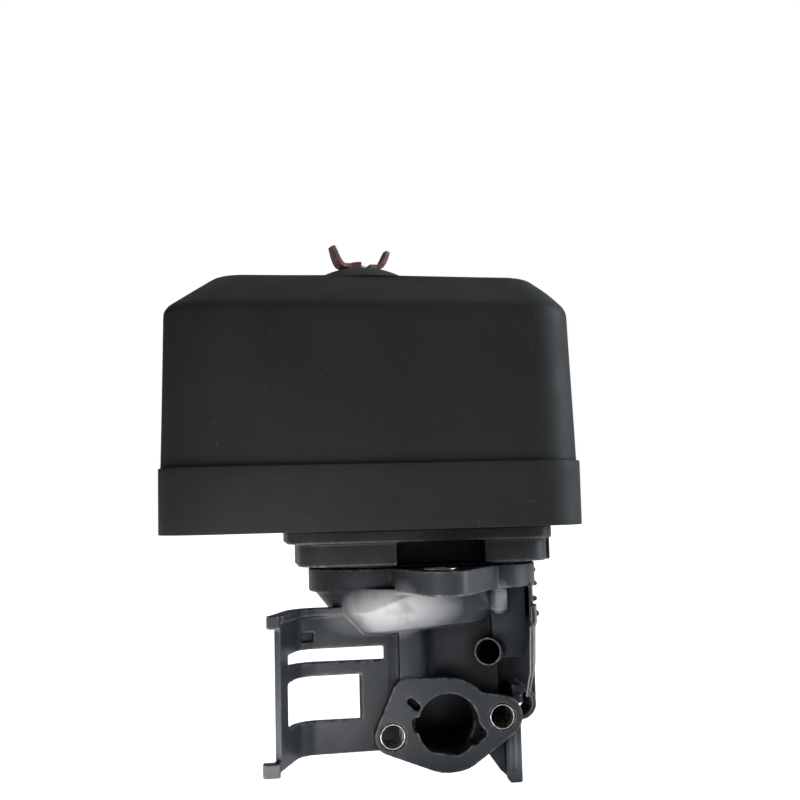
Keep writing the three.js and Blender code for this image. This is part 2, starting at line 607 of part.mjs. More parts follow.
// Smooth bend in plan from the front of the wing back to the front of the trunk.
function wingJoin() {
  const front = WING.y + WING.inner;
  const { x0, turn, mid, out } = WING_BEND;
  const end = WING.foot + WING_BEND.end;
  const plan = new THREE.Shape();
  plan.moveTo(WING.foot + x0, front);
  plan.lineTo(WING.foot, front);
  plan.quadraticCurveTo(WING.foot + turn, front, WING.foot + mid, (front + TRUNK.y0) / 2);
  plan.quadraticCurveTo(WING.foot + out, TRUNK.y0, end, TRUNK.y0);
  plan.lineTo(end, TRUNK.y0 + 2);
  plan.lineTo(WING.foot + x0, TRUNK.y0 + 2);
  plan.closePath();
  return plan;
}

function leftWing() {
  const through = ({ x0, x1, z0, z1 }) => box(x0, x1, WING_CUT_Y.y0, WING_CUT_Y.y1, z0, z1);
  const wall = prism(wingPlan(WING_THICK), WING_Z, WING_TOP_Z);
  const lip = WING_THICK + WING_LIP.out;
  const topLip = prism(wingPlan(lip, 0, WING_LIP.inside), WING_TOP_Z - WING_LIP.top, WING_TOP_Z);
  const footLip = prism(wingPlan(lip), WING_Z, WING_Z + WING_LIP.foot);
  const midPlan = wingPlan(WING_THICK + MID_LIP.out, MID_LIP.short);
  const midLip = prism(midPlan, SLOT.z0 - MID_LIP.high, SLOT.z0);
  const hooks = WING_HOOKS.map(({ x0, x1, z0, z1 }) => box(x0, x1, HOOK_Y.y0, HOOK_Y.y1, z0, z1));
  const bend = prism(wingJoin(), WING_Z, WING_TOP_Z - WING_BEND.below);
  const skin = prism(wingPlan(NICK.depth, 0, 1), NICK.z0, NICK.z1);
  return joined([wall, topLip, footLip, midLip, ...hooks, bend])
    .subtract(joined([through(SLOT), through(WINDOW), skin.intersect(through(NICK))]));
}

// Upright wall between two plan points.
function slantedWall({ front, back, z0, z1, lean }) {
  const points = [];
  for (const [x, y] of [front, back]) {
    for (const side of [-GUARD_THICK / 2, GUARD_THICK / 2]) {
      points.push(new THREE.Vector3(x + side - lean, y, z0));
      points.push(new THREE.Vector3(x + side, y, z1));
    }
  }
  return hull(points);
}

// Rolled lower edge of the guard: the right half of a round tube.
function curl() {
  const { x, z, radius, wall, y0, y1 } = CURL;
  const roll = bar([x, y0, z], [x, y1, z], radius, radius, 36);
  const inside = bar([x, y0 - 1, z], [x, y1 + 1, z], radius - wall, radius - wall, 36);
  const leftHalf = box(x - 2 * radius, x - 0.4, y0 - 1, y1 + 1, z - 2 * radius, z + 2 * radius);
  return roll.subtract(inside).subtract(leftHalf);
}

// Right guard: thin walls in steps from under the rim, a back wall and a rolled edge.
function rightGuard() {
  const block = ({ x0, x1, y0, y1, z0, z1 }) => box(x0, x1, y0, y1, z0, z1);
  const pips = BEADS.map(([x, y, z, r]) => solid(new THREE.SphereGeometry(r, 8, 6).translate(x, y, z)));
  const flat = [BACK_WALL, BUSH_PLATE, CURL_TAB, CURL_TIE].map(block);
  return joined([...GUARD_WALLS.map(slantedWall), ...flat, curl(), ...pips]);
}

function leg() {
  const { x0, x1, y0, y1, z0, z1, toe, toeHigh } = LEG;
  const upright = box(x0, x1, y0, y1, z0, z1);
  const foot = box(x0 + toe, x1, y0, y1, 0, toeHigh);
  const ribs = LEG_RIBS.xs.map((x) => (
    box(x0 + x, x0 + x + LEG_RIBS.wide, y0 - LEG_RIBS.ahead, y0 + 1, LEG_RIBS.z0, z1)));
  const web = new THREE.Shape(LEG_WEB.map(([x, z]) => new THREE.Vector2(x0 + x, z)));
  return joined([upright, foot, ...ribs, frontPrism(web, LEG_WEB_Y.y0, LEG_WEB_Y.y1)]);
}

// Boss for the centre stud, carried by a web across the intake.
function studBoss() {
  const { radius, z0, web, y0, y1 } = STUD_BOSS;
  return post(0, 0, radius, z0, RIM.z1).add(box(-web, web, y0, y1, z0, RIM.z1 - 1));
}

function elbow() {
  const duct = bar([PORT.x, FLANGE_Y + 1, PORT.z], [PORT.x, TRUNK.y0 + 1, PORT.z],
    PORT.bore + PORT.wall, PORT.bore + PORT.wall, 24);
  const [mouth, root] = breatherAxis(0);
  const spigot = bar(mouth, root, BREATHER.outer);
  const flap = box(REAR_FLAP.x0, REAR_FLAP.x1, REAR_FLAP.y0, REAR_FLAP.y1, REAR_FLAP.z0, REAR_FLAP.z1);
  const mass = [rim(), funnel(0), trunk(0, 0), duct, flange(), chamber(), spigot, leftWing(),
    rightGuard(), leg(), flap];
  const throat = prism(patch(INTAKE), RIM.z0 - 2, RIM.z1 + 1);
  const [beyond, inner] = breatherAxis(3);
  const drain = bar(beyond, inner, BREATHER.bore);
  const passage = [throat, funnel(ELBOW_WALL), trunk(ELBOW_WALL, 4), portCut(), chamberCavity(), drain];
  let body = joined(mass).subtract(joined(passage)).add(studBoss());
  body = body.subtract(post(0, 0, STUD_BORE, STUD_FOOT_Z - FIT, RIM.z1 + 1));
  for (const [x, y] of TRAY_SCREWS) {
    body = body.subtract(post(x, y, SCREW_HALF + FIT, SCREW_FOOT_Z - FIT, RIM.z1 + 1, 16));
  }
  body = body.subtract(post(STAY.x, STAY.y, STAY.hole + FIT, RIM.z0 - 4, RIM.z1 + 1));
  const end = FLANGE_Y + BUSH_DEPTH;
  for (const side of [-1, 1]) {
    const [x, z] = bushPlace(side);
    body = body.subtract(bar([x, FLANGE_Y - 1, z], [x, end + FIT, z], BUSH_OUT + FIT));
    body = body.subtract(bar([x, end - 1, z], [x, end + STUD_HOLE_BEYOND, z], BUSH_IN));
  }
  return body;
}

function flangeBush(side) {
  const [x, z] = bushPlace(side);
  const end = FLANGE_Y + BUSH_DEPTH;
  const sleeve = bar([x, FLANGE_Y + BUSH_PROUD, z], [x, end, z], BUSH_OUT);
  return sleeve.subtract(bar([x, FLANGE_Y - 1, z], [x, end + 1, z], BUSH_IN));
}

function stayBush() {
  const sleeve = tube(STAY.x, STAY.y, STAY.hole, STAY.bore, RIM.z0 + FIT, STAY.top);
  return sleeve.add(tube(STAY.x, STAY.y, STAY.flange, STAY.bore, RIM.z1 + FIT, STAY.top));
}

// ---------------------------------------------------------------- finishes and the assembly

const finish = (color, roughness, metalness) => ({ color, roughness, metalness });
const COVER_PLASTIC = finish(0x262725, 0.62, 0);
const TRAY_PLASTIC = finish(0x1d1f21, 0.5, 0);
const ELBOW_PLASTIC = finish(0x24272b, 0.42, 0);
const RUBBER = finish(0x151515, 0.8, 0);
const STEEL = finish(0xb9b6ae, 0.35, 1);
const COPPERED = finish(0x7a5f59, 0.45, 0.8);
const PAPER_FELT = finish(0xcbb98c, 0.9, 0);
const FOAM_GREY = finish(0x3b3d40, 1, 0);

const housing = new THREE.Group();

function place(name, body, look, turn = 0) {
  const mesh = new THREE.Mesh(geometryOf(body), new THREE.MeshStandardMaterial(look));
  mesh.name = name;
  mesh.rotation.z = turn;
  mesh.position.x = STUD_X;
  housing.add(mesh);
}

place('cover', cover(), COVER_PLASTIC);
place('cover_grommet', coverGrommet(), RUBBER);
place('cover_washer', washer(COVER_WASHER), STEEL);
place('cover_wing_nut', wingNut(COVER_NUT_Z), COPPERED, COVER_NUT_TURN);
place('centre_stud', post(0, 0, STUD_HALF, STUD_FOOT_Z, STUD_TOP_Z), STEEL);
place('stud_washer', washer(STUD_WASHER), STEEL);
place('stud_nut', hexNut(STUD_NUT), STEEL);
place('element_washer', washer(ELEMENT_WASHER), STEEL);
place('element_wing_nut', wingNut(ELEMENT_NUT_Z), COPPERED, ELEMENT_NUT_TURN);
place('element_top_cap', elementTopCap(), RUBBER);
place('element_paper', oblongRing(PAPER.out, PAPER.in, PAPER.z0, PAPER.z1), PAPER_FELT);
place('element_screen', elementScreen(), STEEL);
place('element_base_cap', oblongRing(CAP_HALF, BASE_CAP.in, BASE_CAP.z0, BASE_CAP.z1), RUBBER);
place('element_seal', oblongRing(SEAL.out, SEAL.in, SEAL.z0, SEAL.z1), RUBBER);
place('foam_sleeve', oblongRing(FOAM.out, FOAM.in, FOAM.z0, FOAM.z1), FOAM_GREY);
place('tray', tray(), TRAY_PLASTIC);
place('tray_gasket', trayGasket(), RUBBER);
TRAY_SCREWS.forEach((spot, i) => place(`tray_screw_${i + 1}`, trayScrew(spot), STEEL));
place('elbow', elbow(), ELBOW_PLASTIC);
place('flange_bush_left', flangeBush(-1), STEEL);
place('flange_bush_right', flangeBush(1), STEEL);
place('stay_bush', stayBush(), STEEL);

export default housing;
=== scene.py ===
"""Looks for the air filter housing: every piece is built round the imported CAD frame, in metres."""

import math

import bmesh
import bpy
import numpy as np
from mathutils import Matrix, Vector, noise


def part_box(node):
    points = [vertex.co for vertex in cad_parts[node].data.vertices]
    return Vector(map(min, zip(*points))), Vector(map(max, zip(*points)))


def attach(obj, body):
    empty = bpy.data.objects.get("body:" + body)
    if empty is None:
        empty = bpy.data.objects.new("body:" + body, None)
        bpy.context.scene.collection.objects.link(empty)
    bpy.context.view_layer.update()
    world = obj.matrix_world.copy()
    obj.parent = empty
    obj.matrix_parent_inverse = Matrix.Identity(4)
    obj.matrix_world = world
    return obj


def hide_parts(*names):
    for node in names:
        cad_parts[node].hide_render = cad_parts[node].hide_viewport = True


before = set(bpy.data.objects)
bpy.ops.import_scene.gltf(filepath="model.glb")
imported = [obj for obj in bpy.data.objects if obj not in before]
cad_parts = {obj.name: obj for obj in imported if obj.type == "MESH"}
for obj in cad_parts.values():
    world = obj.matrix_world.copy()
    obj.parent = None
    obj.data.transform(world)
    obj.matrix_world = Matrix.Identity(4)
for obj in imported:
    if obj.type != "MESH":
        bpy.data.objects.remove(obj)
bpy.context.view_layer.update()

MM = 0.001  # metres in a millimetre
FLAT = 1e-7  # the shortest length that anything is divided by
WELD = 0.002 * MM
CAD_WELD = 0.001 * MM


# ---------------------------------------------------------------- shader helpers

NOISE_ROUGHNESS = 0.55
SHADE_RAYS = 6
SPOT_CORE = 0.3  # share of a spot's reach at which it starts to fade
TURNED_ASIDE = 0.25
TURNED_TO = 0.75


class Look:
    """A procedural material and the few node patterns that its recipe needs."""

    def __init__(self, name):
        self.material = bpy.data.materials.new(name)
        self.material.use_nodes = True
        self.tree = self.material.node_tree
        self.shader = self.tree.nodes["Principled BSDF"]
        self.place = self.node("ShaderNodeTexCoord").outputs["Object"]

    def node(self, kind, inputs=None, **settings):
        node = self.tree.nodes.new(kind)
        for key, value in settings.items():
            setattr(node, key, value)
        for key, value in (inputs or {}).items():
            self.feed(node.inputs[key], value)
        return node

    def feed(self, socket, value):
        if isinstance(value, bpy.types.NodeSocket):
            self.tree.links.new(value, socket)
        else:
            socket.default_value = value

    def set(self, **values):
        for key, value in values.items():
            self.feed(self.shader.inputs[key.replace("_", " ")], value)

    def maths(self, operation, a, b):
        node = self.node("ShaderNodeMath", operation=operation, use_clamp=operation != "SUBTRACT")
        self.feed(node.inputs[0], a)
        self.feed(node.inputs[1], b)
        return node.outputs[0]

    def grain(self, size, detail, place=None):
        """Noise whose features are about size metres across."""
        inputs = {"Vector": place or self.place, "Scale": 1 / size, "Detail": detail}
        inputs["Roughness"] = NOISE_ROUGHNESS
        return self.node("ShaderNodeTexNoise", inputs).outputs["Fac"]

    def stretched(self, size, scale, turn=(0, 0, 0)):
        """Noise drawn out into streaks along the axes whose scale is below 1."""
        inputs = {"Vector": self.place, "Scale": scale, "Rotation": turn}
        mapping = self.node("ShaderNodeMapping", inputs)
        return self.grain(size, 1.0, mapping.outputs["Vector"])

    def span(self, value, low, high):
        """0 below low, 1 above high, and straight between them."""
        inputs = {"Value": value, "From Min": low, "From Max": high}
        return self.node("ShaderNodeMapRange", inputs, clamp=True).outputs["Result"]

    def blend(self, share, a, b):
        node = self.node("ShaderNodeMix", data_type="RGBA")
        self.feed(node.inputs[0], share)
        self.feed(node.inputs[6], a)
        self.feed(node.inputs[7], b)
        return node.outputs[2]

    def bump(self, height, distance, normal=None):
        inputs = {"Height": height, "Distance": distance}
        if normal is not None:
            inputs["Normal"] = normal
        return self.node("ShaderNodeBump", inputs).outputs["Normal"]

    def specks(self, size, share, radius):
        """Round specks, one in some of the cells of a Voronoi pattern."""
        cells = self.node("ShaderNodeTexVoronoi", {"Vector": self.place, "Scale": 1 / size})
        colour = self.node("ShaderNodeSeparateColor", {"Color": cells.outputs["Color"]})
        chosen = self.maths("LESS_THAN", colour.outputs["Red"], share)
        near = self.maths("SUBTRACT", 1.0, self.span(cells.outputs["Distance"], radius * 0.5, radius))
        return self.maths("MULTIPLY", chosen, near)

    def shade(self, reach):
        """1 in the open, less where nearby walls close the surface in."""
        node = self.node("ShaderNodeAmbientOcclusion", {"Distance": reach}, samples=SHADE_RAYS)
        return node.outputs["AO"]

    def spot(self, centre, reach):
        """1 at a centre, fading to 0 at the surface of an ellipsoid; both in millimetres of the frame."""
        centre = Vector(centre) * MM
        away = self.node("ShaderNodeVectorMath", {0: self.place, 1: centre}, operation="SUBTRACT")
        scale = Vector([1 / (axis * MM) for axis in reach])
        even = self.node("ShaderNodeVectorMath", {0: away.outputs[0], 1: scale}, operation="MULTIPLY")
        length = self.node("ShaderNodeVectorMath", {0: even.outputs[0]}, operation="LENGTH")
        return self.maths("SUBTRACT", 1.0, self.span(length.outputs["Value"], SPOT_CORE, 1.0))

    def facing(self, way):
        """1 on faces that look a given way, and 0 on those that look square to it or away."""
        normal = self.node("ShaderNodeNewGeometry").outputs["Normal"]
        way = Vector(way).normalized()
        dot = self.node("ShaderNodeVectorMath", {0: normal, 1: way}, operation="DOT_PRODUCT")
        return self.span(dot.outputs["Value"], TURNED_ASIDE, TURNED_TO)

    def edges(self):
        """How sharply the surface turns outwards, worked out on the mesh by mark_edges."""
        return self.node("ShaderNodeAttribute", attribute_name="edge").outputs["Fac"]


def grey(value):
    return (value, value, value, 1.0)


def tint(red, green, blue):
    return (red, green, blue, 1.0)


HAIRLINE = grey(0.09)
DUST = grey(0.24)
# Near-black painted into recesses and between parts as shade
PAINTED_SHADE = grey(0.012)
SHADE_REACH = 14 * MM
DUST_CELL = 5.5 * MM
FINE_DUST_CELL = 1.9 * MM
PORE_CELL = 1.1 * MM


def moulded_plastic(name, deep, light, rough, grain_depth, dust, edge_wear_and_glint, worn_and_glint, sheen, painted_highlights=()):
    """Black moulded plastic: fine spark-eroded grain, uneven tone, dust, hairlines, rubbed edges that double
    as painted edge highlights, and painted shade in recesses.

    Each entry of the highlight list paints a highlight into the colour: its centre and its reach in
    millimetres, the way its faces look and its colour."""
    look = Look(name)
    tone = look.grain(55 * MM, 3.0)
    colour = look.blend(look.span(tone, 0.35, 0.65), deep, light)
    cloud = look.span(look.grain(9 * MM, 4.0), 0.3, 0.75)
    patches = look.span(look.grain(4 * MM, 4.0), 0.42, 0.66)
    colour = look.blend(look.maths("MULTIPLY", patches, 0.3), colour, light)
    # Painted highlights: each zone lightens the colour where light would catch the surface
    for centre, reach, way, shine in painted_highlights:
        zone = look.maths("MULTIPLY", look.spot(centre, reach), look.maths("ADD", cloud, 0.6))
        zone = look.maths("MULTIPLY", zone, look.facing(way))
        colour = look.blend(zone, colour, shine)
    dirt = look.specks(DUST_CELL, dust, 0.05)
    fine_dirt = look.specks(FINE_DUST_CELL, dust * 0.8, 0.08)
    hair_a = look.stretched(1.0 * MM, (1.0, 1.0, 0.05), (0.3, 0.2, 1.2))
    hair_b = look.stretched(1.3 * MM, (0.05, 1.0, 1.0), (0.1, 1.0, 0.25))
    lines = look.maths("MAXIMUM", look.span(hair_a, 0.755, 0.79), look.span(hair_b, 0.75, 0.79))
    lines = look.maths("MULTIPLY", lines, look.span(look.grain(24 * MM, 1.0), 0.52, 0.66))
    # Rubbed edges lighten the colour on sharp outward edges: partly real wear, partly painted edge highlights
    rub_and_glint = look.maths("MULTIPLY", look.edges(), look.span(look.grain(2.2 * MM, 4.0), 0.36, 0.62))
    rub_and_glint = look.maths("MULTIPLY", rub_and_glint, edge_wear_and_glint)
    marks = look.maths("MAXIMUM", dirt, fine_dirt)
    colour = look.blend(rub_and_glint, colour, worn_and_glint)
    colour = look.blend(look.maths("MULTIPLY", lines, 0.35), colour, HAIRLINE)
    colour = look.blend(look.maths("MULTIPLY", marks, 0.7), colour, DUST)
    spread = look.maths("MULTIPLY", cloud, 0.12)
    roughness = look.maths("ADD", look.maths("ADD", spread, rough - 0.06), look.maths("MULTIPLY", rub_and_glint, 0.1))
    skin = look.bump(look.grain(0.28 * MM, 2.0), grain_depth)
    skin = look.bump(look.grain(3.4 * MM, 2.0), grain_depth * 1.6, skin)
    skin = look.bump(lines, 0.015 * MM, skin)
    skin = look.bump(marks, 0.06 * MM, skin)
    # Painted shade: ambient occlusion blends the colour to near-black in recesses and between parts, and
    # lowers the specular level there
    open_air = look.shade(SHADE_REACH)
    colour = look.blend(look.maths("SUBTRACT", 1.0, open_air), colour, PAINTED_SHADE)
    gloss = look.maths("MULTIPLY", look.maths("MULTIPLY", open_air, open_air), sheen)
    look.set(Base_Color=colour, Roughness=roughness, Normal=skin, Specular_IOR_Level=gloss)
    return look.material


def plated_steel(name, bright, dull, rough, rust, rust_colour=tint(0.25, 0.1, 0.05), pitting=0.02):
    """Plated steel: brushed and cloudy, with stains where the plating has gone."""
    look = Look(name)
    cloud = look.span(look.grain(2.6 * MM, 5.0), 0.3, 0.7)
    colour = look.blend(cloud, dull, bright)
    stain = look.maths("MULTIPLY", look.span(look.grain(1.1 * MM, 5.0), 0.52, 0.66), rust)
    colour = look.blend(stain, colour, rust_colour)
    roughness = look.maths("ADD", look.maths("MULTIPLY", cloud, 0.18), rough)
    roughness = look.maths("ADD", roughness, look.maths("MULTIPLY", stain, 0.25))
    skin = look.bump(look.grain(0.22 * MM, 3.0), pitting * MM)
    skin = look.bump(look.stretched(0.5 * MM, (0.2, 0.2, 1.0)), 0.012 * MM, skin)
    metal = look.maths("SUBTRACT", 1.0, look.maths("MULTIPLY", stain, 0.6))
    look.set(Base_Color=colour, Roughness=roughness, Metallic=metal, Normal=skin)
    return look.material


def rubber(name, base):
    """Matt rubber or potting compound, cloudy and a little dusty."""
    look = Look(name)
    cloud = look.grain(7 * MM, 4.0)
    dust = look.specks(1.6 * MM, 0.12, 0.1)
    colour = look.blend(look.span(cloud, 0.35, 0.7), base, grey(0.03))
    colour = look.blend(look.maths("MULTIPLY", dust, 0.5), colour, grey(0.2))
    skin = look.bump(look.grain(0.4 * MM, 3.0), 0.03 * MM)
    look.set(Base_Color=colour, Roughness=0.78, Normal=skin, Specular_IOR_Level=0.3)
    return look.material


def open_foam(name):
    """Reticulated foam: lighter struts round open pores, whose centres are painted dark as shade."""
    look = Look(name)
    pores = look.node("ShaderNodeTexVoronoi", {"Vector": look.place, "Scale": 1 / PORE_CELL})
    depth = look.span(pores.outputs["Distance"], 0.12, 0.55)
    cloud = look.span(look.grain(18 * MM, 3.0), 0.3, 0.7)
    strut = look.blend(cloud, tint(0.05, 0.052, 0.055), tint(0.085, 0.086, 0.088))
    # The near-black in the pore centres is painted shade inside the pores
    colour = look.blend(depth, tint(0.006, 0.006, 0.007), strut)
    skin = look.bump(depth, 0.5 * MM)
    look.set(Base_Color=colour, Roughness=0.95, Normal=skin, Specular_IOR_Level=0.2)
    return look.material


def filter_paper(name):
    """Buff paper with upright fibres."""
    look = Look(name)
    fibres = look.stretched(0.6 * MM, (1.0, 1.0, 0.12))
    colour = look.blend(look.span(fibres, 0.3, 0.7), tint(0.55, 0.42, 0.22), tint(0.72, 0.6, 0.38))
    skin = look.bump(fibres, 0.05 * MM)
    look.set(Base_Color=colour, Roughness=0.9, Normal=skin)
    return look.material


COVER_LOOK = moulded_plastic(
    "cover_plastic", tint(0.0125, 0.0128, 0.0108), tint(0.0185, 0.0188, 0.0165), rough=0.56,
    grain_depth=0.035 * MM, dust=0.12, edge_wear_and_glint=0.4, worn_and_glint=grey(0.09), sheen=0.24)
TRAY_LOOK = moulded_plastic(
    "tray_plastic", tint(0.015, 0.015, 0.016), tint(0.026, 0.028, 0.031), rough=0.42,
    grain_depth=0.025 * MM, dust=0.12, edge_wear_and_glint=0.9, worn_and_glint=grey(0.24), sheen=0.36)
AHEAD = (0, -1, 0)
ASIDE = (-1, -0.2, 0)
# Painted highlights and reflections of the lamps on the elbow: centre, reach, the way the faces look and
# colour
FUNNEL_SHINE = ((4, -26, 64), (36, 16, 15.5), (-0.2, -0.8, -0.6), grey(0.62))
BOSS_SHINE = ((50.2, -14.5, 69), (4.5, 7, 8.5), AHEAD, grey(0.28))
CHAMBER_SHINE = ((55.5, -9, 56), (11, 7, 18), AHEAD, tint(0.06, 0.068, 0.076))
GUARD_SHINE = ((61.5, -23, 45), (10, 18, 34), ASIDE, tint(0.7, 0.72, 0.74))
CURL_SHINE = ((63, -4, 29), (7.5, 12, 10), ASIDE, tint(0.5, 0.52, 0.52))
LEG_SHINE = ((54, -9, 6), (14, 8, 16), AHEAD, tint(0.15, 0.16, 0.17))
ELBOW_LOOK = moulded_plastic(
    "elbow_plastic", tint(0.016, 0.018, 0.021), tint(0.034, 0.038, 0.043), rough=0.36,
    grain_depth=0.03 * MM, dust=0.16, edge_wear_and_glint=0.9, worn_and_glint=grey(0.3), sheen=0.44,
    painted_highlights=(FUNNEL_SHINE, BOSS_SHINE, CHAMBER_SHINE, GUARD_SHINE, CURL_SHINE, LEG_SHINE))
RUBBER_LOOK = rubber("rubber", grey(0.012))
POTTING_LOOK = rubber("potting_compound", tint(0.045, 0.045, 0.04))
ZINC_LOOK = plated_steel("zinc_steel", tint(0.72, 0.71, 0.67), tint(0.45, 0.43, 0.38), rough=0.24, rust=0.55)
BUSH_LOOK = plated_steel(
    "bush_steel", tint(0.8, 0.79, 0.75), tint(0.5, 0.45, 0.4), rough=0.2, rust=0.8,
    rust_colour=tint(0.36, 0.17, 0.1))
COPPERED_LOOK = plated_steel(
    "coppered_steel", tint(0.42, 0.24, 0.19), tint(0.2, 0.12, 0.1), rough=0.42, rust=0.5,
    rust_colour=tint(0.06, 0.05, 0.045), pitting=0.06)
PAPER_LOOK = filter_paper("filter_paper")
FOAM_LOOK = open_foam("filter_foam")


# ---------------------------------------------------------------- mesh helpers

SHARP_BEND = 1400.0  # the bend, one over the radius in metres, that counts as a full edge


def mark_edges(mesh):
    """Stores how sharply each vertex bends outwards as the attribute edge, 1 at SHARP_BEND or more."""
    count = len(mesh.vertices)
    place = np.empty(count * 3)
    mesh.vertices.foreach_get("co", place)
    place = place.reshape(-1, 3)
    normal = np.array([tuple(n.vector) for n in mesh.vertex_normals])
    ends = np.empty(len(mesh.edges) * 2, int)
    mesh.edges.foreach_get("vertices", ends)
    a, b = ends.reshape(-1, 2).T
    number = np.bincount(a, minlength=count) + np.bincount(b, minlength=count)
    number = np.maximum(number, 1)

    def gather(values):
        total = np.bincount(a, values[b], count) + np.bincount(b, values[a], count)
        return total / number

    length = np.maximum(np.linalg.norm(place[a] - place[b], axis=1), FLAT)
    step = (np.bincount(a, length**2, count) + np.bincount(b, length**2, count)) / number
    mean = np.stack([gather(place[:, i]) for i in range(3)], axis=1)
    bend = 2 * ((place - mean) * normal).sum(axis=1) / np.maximum(step, FLAT**2)
    bend = (bend + gather(bend)) / 2
    attribute = mesh.attributes.new("edge", "FLOAT", "POINT")
    attribute.data.foreach_set("value", np.clip(bend / SHARP_BEND, 0, 1).astype(np.float32))


def dress(piece, material, body, slot, *nodes, smooth=35):
    """Finishes a piece: one material, smooth faces, its body and the nodes it stands for; the slot argument
    is not used.
    """
    mesh = piece.data
    mesh.materials.clear()
    mesh.materials.append(material)
    for polygon in mesh.polygons:
        polygon.use_smooth = True
    mesh.set_sharp_from_angle(angle=math.radians(smooth))
    mark_edges(mesh)
    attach(piece, body)
    if nodes:
        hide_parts(*nodes)


def link(name, mesh):
    piece = bpy.data.objects.new(name, mesh)
    bpy.context.scene.collection.objects.link(piece)
    return piece


def mesh_piece(name, points, faces):
    mesh = bpy.data.meshes.new(name)
    mesh.from_pydata([tuple(p) for p in points], [], faces)
    shape = bmesh.new()
    shape.from_mesh(mesh)
    bmesh.ops.remove_doubles(shape, verts=shape.verts, dist=WELD)
    bmesh.ops.recalc_face_normals(shape, faces=shape.faces)
    shape.to_mesh(mesh)
    shape.free()
    return link(name, mesh)


def apply_modifiers(piece):
    """Makes a piece's modifiers part of its mesh."""
    graph = bpy.context.evaluated_depsgraph_get()
    mesh = bpy.data.meshes.new_from_object(piece.evaluated_get(graph))
    piece.modifiers.clear()
    piece.data = mesh


def discard(*pieces):
    for piece in pieces:
        bpy.data.objects.remove(piece)


def lofted(name, rings, closed=False):
    """Quads between rings of equally many points. A closed loft joins its last ring to its first."""
    count = len(rings[0])
    points = [p for ring in rings for p in ring]
    faces = []
    rows = len(rings) if closed else len(rings) - 1
    for row in range(rows):
        low = row * count
        high = (row + 1) % len(rings) * count
        for i in range(count):
            j = (i + 1) % count
            faces.append((low + i, low + j, high + j, high + i))
    if not closed:
        faces.append(tuple(reversed(range(count))))
        faces.append(tuple(range((len(rings) - 1) * count, len(rings) * count)))
    return mesh_piece(name, points, faces)


def turned(name, profile, centre=(0, 0), steps=64, closed=True, wobble=0.0):
    """Body of revolution round an upright axis, from [radius, height] points in millimetres."""
    rings = []
    for radius, height in profile:
        ring = []
        for i in range(steps):
            angle = 2 * math.pi * i / steps
            x, y = math.cos(angle), math.sin(angle)
            reach = radius
            if wobble:
                reach += wobble * noise.noise(Vector((x * 2, y * 2, height)))
            ring.append(Vector((centre[0] + reach * x, centre[1] + reach * y, height)))
        rings.append([p * MM for p in ring])
    return lofted(name, rings, closed)


LONGEST_TRIM = 0.45  # share of a side that the rounding of one corner may take


def rounded(points, radius, steps=4, closed=True):
    """A polyline whose corners are rounded; each point may hold its own radius as a third value."""
    out = []
    count = len(points)
    for i, point in enumerate(points):
        here = Vector(point[:2])
        reach = point[2] if len(point) > 2 else radius
        before = Vector(points[i - 1][:2])
        after = Vector(points[(i + 1) % count][:2])
        if not closed and i in (0, count - 1):
            out.append(tuple(here))
            continue
        back = min(reach, (before - here).length * LONGEST_TRIM)
        ahead = min(reach, (after - here).length * LONGEST_TRIM)
        start = here + (before - here).normalized() * back
        end = here + (after - here).normalized() * ahead
        for k in range(steps + 1):
            t = k / steps
            out.append(tuple(start * (1 - t) ** 2 + here * 2 * t * (1 - t) + end * t**2))
    return out


def block(low, high):
    """A box between two corners in millimetres, for joining to or cutting from a casting."""
    shape = bmesh.new()
    bmesh.ops.create_cube(shape, size=1)
    low, high = Vector(low), Vector(high)
    for vertex in shape.verts:
        vertex.co = Vector((c * s + m for c, s, m in zip(vertex.co, high - low, (low + high) / 2))) * MM
    return shape


def rod(start, end, radius, steps=32):
    """A round bar between two points in millimetres, for joining to or cutting from a casting."""
    shape = bmesh.new()
    start, end = Vector(start), Vector(end)
    run = end - start
    bmesh.ops.create_cone(
        shape, cap_ends=True, segments=steps, radius1=radius * MM, radius2=radius * MM,
        depth=run.length * MM)
    turn = run.to_track_quat("Z", "Y").to_matrix().to_4x4()
    bmesh.ops.transform(shape, matrix=Matrix.Translation((start + end) / 2 * MM) @ turn, verts=shape.verts)
    return shape


def gathered(name, shapes):
    """One object that holds several bmesh shapes."""
    mesh = bpy.data.meshes.new(name)
    whole = bmesh.new()
    for shape in shapes:
        part = bpy.data.meshes.new("part")
        shape.to_mesh(part)
        shape.free()
        whole.from_mesh(part)
        bpy.data.meshes.remove(part)
    whole.to_mesh(mesh)
    whole.free()
    return link(name, mesh)


def carve(piece, cutter, operation="DIFFERENCE"):
    """Cuts a piece with another object, which is then thrown away."""
    modifier = piece.modifiers.new("carve", "BOOLEAN")
    modifier.operation = operation
    modifier.solver = "EXACT"
    modifier.object = cutter
    apply_modifiers(piece)
    discard(cutter)


def cast(piece, voxel, smooth, keep=1.0):
    """Melts joined shapes into one moulded skin with soft corners."""
    remesh = piece.modifiers.new("skin", "REMESH")
    remesh.mode = "VOXEL"
    remesh.voxel_size = voxel * MM
    soften = piece.modifiers.new("soften", "SMOOTH")
    soften.factor = 0.5
    soften.iterations = smooth
    if keep < 1:
        thin = piece.modifiers.new("thin", "DECIMATE")
        thin.ratio = keep
    apply_modifiers(piece)


def cad_copy(node, name):
    """A welded copy of a CAD node's mesh, as a new object to work on."""
    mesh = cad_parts[node].data.copy()
    shape = bmesh.new()
    shape.from_mesh(mesh)
    bmesh.ops.remove_doubles(shape, verts=shape.verts, dist=CAD_WELD)
    shape.to_mesh(mesh)
    shape.free()
    mesh.name = name
    return link(name, mesh)


def span_of(node):
    """A CAD node's lowest and highest corners in millimetres."""
    low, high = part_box(node)
    return low / MM, high / MM


STUD_X = (span_of("centre_stud")[0].x + span_of("centre_stud")[1].x) / 2


def on_stud(piece):
    """Moves a piece that was drawn round the vertical axis of the frame onto the axis of the stud."""
    piece.data.transform(Matrix.Translation((STUD_X * MM, 0, 0)))
    return piece


# ---------------------------------------------------------------- cover

